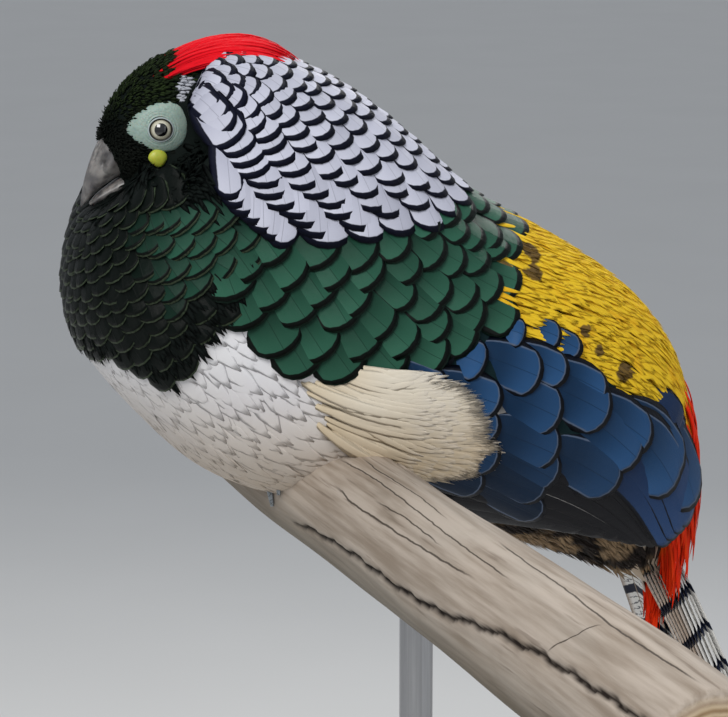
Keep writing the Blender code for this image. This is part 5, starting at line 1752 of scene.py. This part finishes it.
def skin_material() -> bpy.types.Material:
    """The skin under the coat, in the colour of the plumage over it, silky where the coat is thin."""
    nodes = Nodes(Finish("skin_under_coat", roughness=0.75, specular=0.08))
    place = nodes.place()
    x, _, z = nodes.split(place)
    along = x * 0.73 - (z - PERCH[2]) * 0.68
    low = z - PERCH[2] + x * 0.62
    white = nodes.mix(nodes.noise(30.0, 2.0, place).step(0.4, 0.75) * 0.4, (0.78, 0.78, 0.80), (0.66, 0.68, 0.78))
    # browner and darker below: partly the belly's own beige, partly painted shade on the underside
    white = nodes.mix(z.step(0.985, 0.895) * 0.85, white, (0.46, 0.35, 0.23))
    colour = nodes.mix(along.step(-0.078, -0.070), (0.004, 0.007, 0.006), white)
    colour = nodes.mix(low.step(0.045, 0.060) * along.step(-0.05, -0.04), colour, (0.004, 0.014, 0.016))
    colour = nodes.mix(low.step(0.105, 0.125) * along.step(0.035, 0.05), colour, (0.60, 0.32, 0.015))
    turned = nodes.add("ShaderNodeMapping", {"vector_type": "TEXTURE"},
                       {"Vector": place, "Rotation": (0.0, math.radians(43), 0.0), "Scale": (9.0, 1.0, 1.0)})
    silk = nodes.noise(900.0, 3.0, turned.outputs[0])
    tufts = nodes.noise(150.0, 3.0, turned.outputs[0])
    nodes.bump(silk + tufts * 1.2, 0.2, 0.0009)
    return nodes.done(colour)


@dataclass
class Face:
    """The bare parts of the head: skin round the eyes, lids, wattles, eyes and bill."""

    skin: bpy.types.Material = field(init=False)
    horn: bpy.types.Material = field(init=False)
    gold: bpy.types.Material = field(init=False)

    def __post_init__(self) -> None:
        """Make the materials."""
        self.skin = self.skin_material()
        self.horn = self.horn_material()
        self.gold = self.wattle_material()

    @staticmethod
    def skin_material() -> bpy.types.Material:
        """Pale blue-green skin with small bumps and painted shade between them."""
        nodes = Nodes(Finish("bare_skin", roughness=0.42, subsurface=0.15, specular=0.4))
        cells = nodes.cells("SMOOTH_F1", 1100.0)
        patch = nodes.noise(220.0, 3.0)
        colour = nodes.mix(patch, (0.21, 0.30, 0.26), (0.34, 0.43, 0.38))
        # painted shade in the hollows between the bumps
        colour = nodes.mix(cells.step(0.35, 0.8) * 0.45, colour, (0.15, 0.22, 0.20))
        nodes.bump(1.0 - cells, 0.5, 0.0003)
        return nodes.done(colour)

    @staticmethod
    def horn_material() -> bpy.types.Material:
        """Grey horn with fine growth lines, darker at the hook, with painted shade in the nostrils."""
        nodes = Nodes(Finish("bill_horn", roughness=0.36, specular=0.5, subsurface=0.05))
        lines = nodes.noise(420.0, 4.0, stretch=(0.45, 1.0, 0.45))
        patch = nodes.noise(120.0, 3.0)
        nostril_shade, tip, _ = nodes.reading("horn")
        colour = nodes.mix(patch.step(0.3, 0.7), (0.095, 0.090, 0.092), (0.27, 0.255, 0.24))
        colour = nodes.mix(lines.step(0.45, 0.65) * 0.7, colour, (0.035, 0.033, 0.036))
        colour = nodes.mix(tip * 0.7, colour, (0.055, 0.055, 0.060))
        # painted shade in the hollows of the nostrils
        colour = nodes.mix(nostril_shade, colour, (0.012, 0.010, 0.010))
        nodes.bump(lines, 0.25, 0.0003)
        return nodes.done(colour)

    @staticmethod
    def wattle_material() -> bpy.types.Material:
        """Yellow-green skin drop."""
        nodes = Nodes(Finish("wattle_skin", roughness=0.4, subsurface=0.2))
        patch = nodes.noise(400.0, 3.0)
        nodes.bump(patch, 0.5, 0.0004)
        return nodes.done(nodes.mix(patch, (0.36, 0.42, 0.03), (0.58, 0.60, 0.08)))

    def eye_material(self, centre: np.ndarray, way: np.ndarray, name: str) -> bpy.types.Material:
        """A pale iris round a black pupil, by the distance from the eye's axis.

        Args:
            centre: the eye's middle.
            way: where it looks.
            name: the material's name.

        Returns:
            The material.
        """
        nodes = Nodes(Finish(name, roughness=0.06, coat=1.0, specular=0.6))
        offset = nodes.vector_maths("SUBTRACT", nodes.place(), tuple(centre))
        depth, span = nodes.measure("DOT_PRODUCT", offset, tuple(way)), nodes.measure("LENGTH", offset)
        radius = (span * span - depth * depth).most(0.0) ** 0.5 / MM
        streaks = nodes.noise(900.0, 2.0)
        colour = nodes.mix(streaks, (0.46, 0.44, 0.33), (0.66, 0.64, 0.52))
        colour = nodes.mix(radius.step(3.6, 4.5) * 0.8, colour, (0.20, 0.18, 0.12))
        colour = nodes.mix(radius.step(4.3, 4.6), colour, (0.010, 0.010, 0.010))
        colour = nodes.mix(radius.step(2.95, 2.75), colour, (0.002, 0.002, 0.003))
        return nodes.done(colour)

    def patch(self, sign: int) -> bpy.types.Object:
        """The bare skin round one eye, a thin raised sheet with the opening for the eye.

        Args:
            sign: 1 for the left side, -1 for the right.

        Returns:
            The sheet.
        """
        count, rings = 96, 22
        angle = np.linspace(0, 2 * math.pi, count, endpoint=False)
        ray = beside(np.cos(angle), np.sin(angle))
        inner = np.array(EYE_AT) + ray * 4.9
        reach = np.linspace(5.0, 18.0, 90)
        shares = bare_share(EYE_AT[0] + ray[:, :1] * reach, EYE_AT[1] + ray[:, 1:] * reach)
        outer = np.array(EYE_AT) + ray * np.array([np.interp(1.0, s, reach) for s in shares])[:, None]
        tops, lows = [], []
        for share in np.linspace(0, 1, rings):
            xz = inner * (1 - share) + outer * share
            points, normals = on_head(xz[:, 0], xz[:, 1])
            run = np.linalg.norm(xz - np.array(EYE_AT), axis=1)
            fold = 0.16 * np.cos((run - LID_RADIUS) * 2 * math.pi / 1.25) * np.clip((8.6 - run) / 2.4, 0, 1)
            height = 1.25 * math.cos(share * math.pi / 2) ** 0.6 - 0.35 * share + fold
            tops.append(points + normals * height[:, None] * MM)
            lows.append(points - normals * 1.4 * MM)
        rows = tops + lows[::-1]
        total = len(rows)
        faces = grid_faces(total, count, caps=False)
        faces += [((total - 1) * count + j, (total - 1) * count + (j + 1) % count, (j + 1) % count, j)
                  for j in range(count)]
        points = np.concatenate(rows)
        points[:, 1] *= sign
        return mesh_object("bare_skin_" + side_name(sign), points, faces, self.skin)

    def lids(self, centre: np.ndarray, way: np.ndarray, sign: int) -> bpy.types.Object:
        """The rims of the lids round one eye.

        Args:
            centre: the eye's middle.
            way: where it looks.
            sign: 1 for the left side, -1 for the right.

        Returns:
            The lids.
        """
        across = unit(np.cross(way, (0, 0, 1.0)))
        other = np.cross(way, across)
        points = []
        count, tube = 40, 10
        for i in range(count):
            angle = 2 * math.pi * i / count
            ray = across * math.cos(angle) + other * math.sin(angle)
            open_by = LID_RADIUS + 0.15 * math.cos(2 * angle)
            for j in range(tube):
                turn = 2 * math.pi * j / tube
                points.append(centre + ray * (open_by + 0.6 * math.cos(turn)) * MM
                              + way * (4.75 + 0.7 * math.sin(turn)) * MM)
        faces = [(i * tube + j, i * tube + (j + 1) % tube, (i + 1) % count * tube + (j + 1) % tube,
                  (i + 1) % count * tube + j) for i in range(count) for j in range(tube)]
        nodes = Nodes(Finish("lid_skin_" + side_name(sign), roughness=0.45, specular=0.3))
        rim, _, _ = nodes.reading("rim")
        colour = nodes.mix(nodes.noise(900.0), (0.30, 0.37, 0.38), (0.46, 0.52, 0.52))
        colour = nodes.mix(rim.step(0.25, -0.15), colour, (0.012, 0.012, 0.012))
        obj = mesh_object("lids_" + side_name(sign), np.array(points), faces, nodes.done(colour))
        turns = np.tile(np.cos(np.linspace(0, 2 * math.pi, tube, endpoint=False)), count)
        store(obj.data, "rim", beside(turns, turns, turns))
        return obj

    def wattle(self, sign: int) -> bpy.types.Object:
        """The small yellow drop under one eye.

        Args:
            sign: 1 for the left side, -1 for the right.

        Returns:
            The drop.
        """
        point, normal = on_head(*(np.array([c]) for c in WATTLE_AT))
        points, faces = ball_mesh((0, 0, 0), (4.3, 2.1, 4.0), fine=28)
        drop = np.clip(-points[:, 2] / (4.0 * MM), 0, 1)
        points[:, 0] *= 1 - 0.35 * drop
        points[:, 0] += 0.0006 * drop
        points = points + point[0] + normal[0] * 0.5 * MM
        points[:, 1] *= sign
        return mesh_object("wattle_" + side_name(sign), points, faces, self.gold)

    def eye(self, sign: int) -> None:
        """One eyeball with its cornea, where the solid has it.

        Args:
            sign: 1 for the left side, -1 for the right.
        """
        node = "eye_left" if sign > 0 else "eye_right"
        low, high = (np.array(c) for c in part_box(node))
        centre = (low + high) / 2
        _, normal = on_head(*(np.array([c]) for c in EYE_AT))
        way = unit(normal[0] * np.array((1, sign, 1)))
        points, faces = ball_mesh((0, 0, 0), (EYE_RADIUS,) * 3, fine=48)
        depth = points @ way
        points = points * (1 + 0.05 * np.clip((depth / (EYE_RADIUS * MM) - 0.72) / 0.28, 0, 1) ** 1.5)[:, None]
        obj = mesh_object(node + "_ball", points + centre, faces, self.eye_material(centre, way, node + "_glass"))
        piece(obj, (node,))
        rim = self.lids(centre - PERCH, way, sign)
        place_on_perch(rim)
        piece(rim, (), "head")

    def bill(self) -> None:
        """Both halves of the bill, finer than their solids, with nostrils and the line of the mouth."""
        upper, lower = Form(BILL_UPPER_RINGS, low=0.10), Form(BILL_LOWER_RINGS, low=-0.05)
        for name, form in (("bill_upper", upper), ("bill_lower", lower)):
            obj = lofted(name + "_horn", form, 40, 36)
            mesh = obj.data
            points = vectors(mesh.vertices, "co")
            horn = np.zeros((len(points), 3))
            horn[:, 1] = np.clip((-points[:, 0] / MM - 100) / 7, 0, 1) ** 2
            if name == "bill_upper":
                for sign in (1, -1):
                    hole = np.array(NOSTRIL_AT) * (1, -sign, 1) * MM
                    gap = (points - hole) @ np.array(((0.85, 0, 0.5), (0, 1, 0), (-0.5, 0, 0.85))) / MM
                    near = np.exp(-((gap[:, 0] / 1.0) ** 2 + (gap[:, 1] / 3.0) ** 2 + (gap[:, 2] / 2.4) ** 2))
                    hood = np.exp(-(((gap[:, 0] - 2.6) / 2.0) ** 2 + (gap[:, 1] / 4) ** 2 + (gap[:, 2] / 3.8) ** 2))
                    points[:, 1] += sign * (near * 1.8 - hood * 1.2) * MM
                    # the first value of horn marks the painted shade in the nostril's hollow
                    horn[:, 0] = np.maximum(horn[:, 0], np.clip(near * 1.4 - 0.3, 0, 1))
                mesh.vertices.foreach_set("co", points.ravel())
            store(mesh, "horn", horn)
            obj.data.materials.append(self.horn)
            finished(obj, 1)
            place_on_perch(obj)
            piece(obj, (name,))

    def build(self) -> None:
        """Make all the bare parts of the head."""
        for sign in (1, -1):
            self.eye(sign)
            for obj in (self.patch(sign), self.wattle(sign)):
                place_on_perch(obj)
                piece(obj, (), "head")
        self.bill()


def side_name(sign: int) -> str:
    """The name of a side; the left side has positive angles and lies towards -Y."""
    return "left" if sign > 0 else "right"


def finished(obj: bpy.types.Object, levels: int) -> bpy.types.Object:
    """Smooth a mesh by subdivision and turn its faces outwards.

    Args:
        obj: the object.
        levels: how often it is subdivided.

    Returns:
        The same object.
    """
    modifier = obj.modifiers.new("fine", "SUBSURF")
    modifier.levels = modifier.render_levels = levels
    baked(obj)
    outwards(obj.data)
    return obj


@dataclass
class Perch:
    """The cut length of log, weathered and cracked."""

    back: float = 105 * MM
    front: float = -405 * MM

    def material(self) -> bpy.types.Material:
        """Bare grey-tan wood with long grain, painted shade in its cracks and a dark olive painted shade on its
        underside.
        """
        nodes = Nodes(Finish("log_wood", roughness=0.82, specular=0.2))
        place = nodes.place()
        grain = nodes.noise(260.0, 6.0, place, stretch=(1.0, 0.06, 1.0))
        broad = nodes.noise(26.0, 4.0, place, stretch=(1.0, 0.25, 1.0))
        crack, depth, end = nodes.reading("wear")
        x, y, z = nodes.split(place)
        along = (y - float(PERCH[1])) / MM
        height = z - float(PERCH[2] - LOG_RADIUS)
        turn = nodes.maths("ARCTAN2", height, x - float(PERCH[0])) * math.degrees(1.0)
        wobble = nodes.noise(90.0, 3.0, place) - 0.5
        mm_per_degree = math.radians(LOG_RADIUS / MM)
        colour = nodes.mix(grain.step(0.25, 0.7), (0.27, 0.215, 0.165), (0.47, 0.40, 0.335))
        colour = nodes.mix(broad.step(0.45, 0.7) * 0.4, colour, (0.47, 0.43, 0.38))
        lines = nodes.noise(330.0, 3.0, place, stretch=(1.0, 0.05, 1.0)).step(0.62, 0.70)
        colour = nodes.mix(lines * 0.5, colour, (0.16, 0.12, 0.09))
        stain = nodes.noise(45.0, 3.0, place, stretch=(1.0, 0.5, 1.0)).step(0.6, 0.75)
        colour = nodes.mix(stain * 0.35, colour, (0.20, 0.16, 0.12))
        # painted shade on the log's underside
        colour = nodes.mix(height.step(0.008, -0.018) * 0.6, colour, (0.10, 0.085, 0.055))
        # fine cracks drawn as lines of painted shade, with no groove in the mesh
        for wide, line in LOG_HAIRLINES:
            off = abs(turn - along.follow(line) + wobble * 4.0) * mm_per_degree
            inside = along.step(line[0][0], line[0][0] + 18) * along.step(line[-1][0], line[-1][0] - 18)
            colour = nodes.mix(off.step(wide, wide * 0.4) * inside * 0.85, colour, (0.035, 0.025, 0.018))
        # a fine crack across the grain, drawn as a line of painted shade
        off = abs(along - turn.follow(LOG_CROSS) + wobble * 4.0)
        inside = turn.step(LOG_CROSS[0][0], LOG_CROSS[0][0] + 8) * turn.step(LOG_CROSS[-1][0], LOG_CROSS[-1][0] - 8)
        colour = nodes.mix(off.step(0.7, 0.3) * inside * 0.85, colour, (0.035, 0.025, 0.018))
        # painted shade inside the cracks cut into the mesh
        colour = nodes.mix(crack, colour, (0.018, 0.012, 0.009))
        rings = nodes.mix((depth * 55.0).sine() * 0.5 + 0.5, (0.30, 0.20, 0.11), (0.52, 0.40, 0.26))
        colour = nodes.mix(end, colour, rings)
        nodes.bump(grain + broad * 0.6, 0.55, 0.0012)
        return nodes.done(colour)

    def build(self) -> bpy.types.Object:
        """Model the log with its long cracks cut into it."""
        rows, columns = 330, 160
        y = np.repeat(np.linspace(self.back, self.front, rows), columns)
        angle = np.tile(np.linspace(0, 2 * math.pi, columns, endpoint=False), rows)
        swell = 1 + 0.02 * np.sin(y * 23 + 2 * angle) + 0.012 * np.sin(y * 41 - 3 * angle)
        fluting = 0.10 * np.sin(angle * 13 + 3 * np.sin(y * 18)) + 0.07 * np.sin(angle * 29 + y * 40)
        radius = LOG_RADIUS * swell + fluting * MM
        crack = np.zeros(len(y))
        for wide, spots in LOG_CRACKS:
            place, turn = np.array(spots, float).T
            order = place.argsort()
            centre = np.radians(np.interp(y / MM, place[order], turn[order])
                                + 1.2 * np.sin(y * 210) + 0.6 * np.sin(y * 530))
            gap = np.abs((angle - centre + math.pi) % (2 * math.pi) - math.pi) * LOG_RADIUS / MM
            inside = np.clip(np.minimum(y / MM - place.min(), place.max() - y / MM) / 25, 0, 1)
            crack = np.maximum(crack, np.exp(-(gap / (wide * (0.35 + 0.65 * inside))) ** 2) * np.minimum(1, inside * 3))
        radius = radius - crack * 2.4 * MM
        ends = np.minimum((self.back - y), (y - self.front)) / (2.5 * MM)
        radius *= 0.95 + 0.05 * np.clip(ends, 0, 1) ** 0.5
        points = beside(radius * np.cos(angle), y, -LOG_RADIUS + radius * np.sin(angle))
        # the first value marks the cracks for their painted shade; the second gives the end rings and the third marks
        # the cut ends
        wear = beside(np.clip(crack * 1.3, 0, 1) ** 1.5, np.ones(len(y)), np.zeros(len(y)))
        faces = grid_faces(rows, columns, caps=False)
        caps, cap_shade_and_ends = [], []
        for row in (0, rows - 1):
            previous = [row * columns + j for j in range(columns)]
            for ring in (0.8, 0.6, 0.4, 0.2, 0.02):
                base = len(points) + len(caps)
                for j in range(columns):
                    p = points[row * columns + j]
                    caps.append((p[0] * ring, p[1], -LOG_RADIUS + (p[2] + LOG_RADIUS) * ring))
                    cap_shade_and_ends.append((0.0, ring, 1.0))
                current = [base + j for j in range(columns)]
                for j in range(columns):
                    k = (j + 1) % columns
                    faces.append((previous[j], previous[k], current[k], current[j]))
                previous = current
            faces.append(tuple(previous))
        points, wear = np.vstack([points, caps]), np.vstack([wear, cap_shade_and_ends])
        obj = mesh_object("log", points, faces, self.material())
        store(obj.data, "wear", wear)
        place_on_perch(obj)
        return piece(obj, ("perch_log",))


class Stand:
    """Finishes of the solids that stay as they are: base, rod and feet."""

    @staticmethod
    def dress() -> None:
        """Give each its material."""
        wood = Nodes(Finish("base_wood", roughness=0.38, coat=0.25))
        grain = wood.noise(38.0, 6.0, stretch=(0.12, 1.0, 1.0))
        rings = wood.noise(6.0, 3.0, stretch=(0.2, 1.0, 1.0))
        colour = wood.mix(grain.step(0.3, 0.7), (0.045, 0.022, 0.012), (0.12, 0.062, 0.032))
        colour = wood.mix(rings.step(0.4, 0.7) * 0.5, colour, (0.03, 0.015, 0.009))
        wood.bump(grain, 0.12, 0.0005)
        wood_made = wood.done(colour)
        steel = Nodes(Finish("rod_steel", roughness=0.3, metallic=1.0))
        lines = steel.noise(900.0, 3.0, stretch=(1.0, 1.0, 0.02))
        steel_made = steel.done(steel.mix(lines, (0.32, 0.32, 0.33), (0.52, 0.52, 0.53)), lines * 0.2 + 0.22)
        scales = Nodes(Finish("foot_scales", roughness=0.5))
        cells = scales.cells("DISTANCE_TO_EDGE", 420.0)
        scales.bump(cells.step(0.0, 0.12), 0.6, 0.0004)
        scales_made = scales.done(scales.mix(cells.step(0.0, 0.1), (0.10, 0.11, 0.12), (0.26, 0.29, 0.31)))
        for node, material in (("stand_base", wood_made), ("stand_rod", steel_made), ("leg_left", scales_made),
                               ("leg_right", scales_made)):
            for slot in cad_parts[node].material_slots:
                slot.material = material


@dataclass(frozen=True)
class Lamp:
    """One soft light."""

    name: str
    place: tuple[float, float, float]
    power: float
    size: float
    colour: Colour


LAMPS = (
    Lamp("key", (-1.3, -1.6, 2.8), 54.0, 1.3, (1.0, 0.985, 0.96)),
    Lamp("fill", (1.9, -1.8, 1.4), 8.0, 2.2, (0.93, 0.96, 1.0)),
    Lamp("back", (1.0, 1.9, 2.3), 34.0, 1.4, (1.0, 0.98, 0.95)),
)


class Studio:
    """Floor, light and camera."""

    @staticmethod
    def build() -> None:
        """Set up the studio at the photograph's viewing angle."""
        reach = FLOOR_REACH
        points = [(-reach, -reach, 0.0), (reach, -reach, 0.0), (reach, reach, 0.0), (-reach, reach, 0.0)]
        faces = [(0, 1, 2, 3)]
        paint = Nodes(Finish("studio_paint", roughness=0.9))
        speckle = paint.noise(3.0, 2.0)
        floor = mesh_object("studio_floor", np.array(points), faces,
                            paint.done(paint.mix(speckle, (0.66, 0.66, 0.65), (0.70, 0.70, 0.69))))
        if floor.data.polygons[0].normal.z < 0:
            floor.data.flip_normals()
        bpy.context.scene.view_settings.view_transform = "Standard"
        world = bpy.data.worlds.new("studio_air")
        bpy.context.scene.world = world
        world.use_nodes = True
        world.node_tree.nodes["Background"].inputs["Color"].default_value = (0.80, 0.84, 0.90, 1.0)
        world.node_tree.nodes["Background"].inputs["Strength"].default_value = 0.50
        for lamp in LAMPS:
            data = bpy.data.lights.new(lamp.name, "AREA")
            data.energy, data.size, data.color = lamp.power, lamp.size, lamp.colour
            obj = link(bpy.data.objects.new(lamp.name, data))
            obj.location = lamp.place
            aim = Vector(PERCH + LAMP_AIM) - Vector(lamp.place)
            obj.rotation_euler = aim.to_track_quat("-Z", "Y").to_euler()
        data = bpy.data.cameras.new("camera")
        data.lens, data.sensor_width = CAMERA_LENS, CAMERA_SENSOR
        data.dof.use_dof = False
        camera = link(bpy.data.objects.new("camera", data))
        place = Vector(PERCH + CAMERA_AT)
        target = Vector(PERCH + CAMERA_AIM)
        camera.location = place
        camera.rotation_euler = (target - place).to_track_quat("-Z", "Y").to_euler()
        bpy.context.scene.camera = camera


def grow_plumage(skin: bpy.types.Object) -> None:
    """Grow every tract of feathers on the skin.

    Args:
        skin: the bird's skin.
    """
    made = plumage_materials()
    plumes = Plumes()
    body = ("torso",)
    tracts = (
        Plumage("belly_plumage", Blade.LANCE, plumes.belly(), made["belly"], body, 7, 4),
        Plumage("vent_plumage", Blade.HAIR, plumes.vent(), made["vent"], body, 5, 2),
        Plumage("rump_plumage", Blade.HAIR, plumes.rump(), made["rump"], body, 6, 4),
        Plumage("throat_plumage", Blade.HAIR, plumes.throat(), made["throat"], ("neck",), 4, 2),
        Plumage("ruff_plumage", Blade.HAIR, plumes.ruff(skin), made["throat"], ("head",), 4, 2),
        Plumage("breast_plumage", Blade.SCALE, plumes.breast(), made["breast"], ("torso", "neck"), 8, 6),
        Plumage("mantle_plumage", Blade.SCALE, plumes.mantle(), made["mantle"], body, 10, 8),
        Plumage("cape_plumage", Blade.SCALE, plumes.cape(), made["cape"], ("neck",), 10, 8),
        Plumage("wing_coverts", Blade.SCALE, plumes.wing_scales(), made["wing"], ("wing_left", "wing_right"), 10, 8),
        Plumage("flight_feathers", Blade.STRAP, plumes.flight(), made["flight"], ("wing_left", "wing_right"), 14, 8),
        Plumage("flank_plumes", Blade.LANCE, plumes.flank(430, 60, (3.4, 6.0), 1.1, 2.5, (-1.2, 4.2, 4.9)),
                made["flank"], body, 8, 3),
        Plumage("flank_fringe", Blade.HAIR, plumes.flank(700, 36, (0.5, 1.0), 0.25, 3.0, (3.6, 4.9, 5.4)),
                made["flank"], body, 5, 2),
        Plumage("tail_coverts", Blade.LANCE, plumes.coverts(), made["covert"], ("tail",), 12, 4),
        Plumage("tail_feathers", Blade.QUILL, plumes.tail(), made["tail"], ("tail",), 60, 8),
        Plumage("crest", Blade.LANCE, plumes.crest(), made["crest"], ("head",), 10, 4),
        Plumage("head_plumage", Blade.HAIR, plumes.head(), made["head"], ("head",), 3, 2),
    )
    for tract in tracts:
        tract.grow()


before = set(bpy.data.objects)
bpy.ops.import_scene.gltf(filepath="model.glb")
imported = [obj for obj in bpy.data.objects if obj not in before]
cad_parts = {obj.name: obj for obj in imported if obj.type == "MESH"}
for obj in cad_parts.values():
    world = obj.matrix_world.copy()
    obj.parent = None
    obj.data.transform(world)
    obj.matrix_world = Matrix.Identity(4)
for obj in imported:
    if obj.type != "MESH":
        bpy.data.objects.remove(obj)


def main() -> None:
    """Build the looks of the whole model."""
    logging.basicConfig(level=logging.INFO, format="%(message)s", force=True)
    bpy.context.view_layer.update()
    grow_plumage(Skin(skin_material()).build())
    Face().build()
    Perch().build()
    Stand.dress()
    Studio.build()


if __name__ == "__main__":
    main()
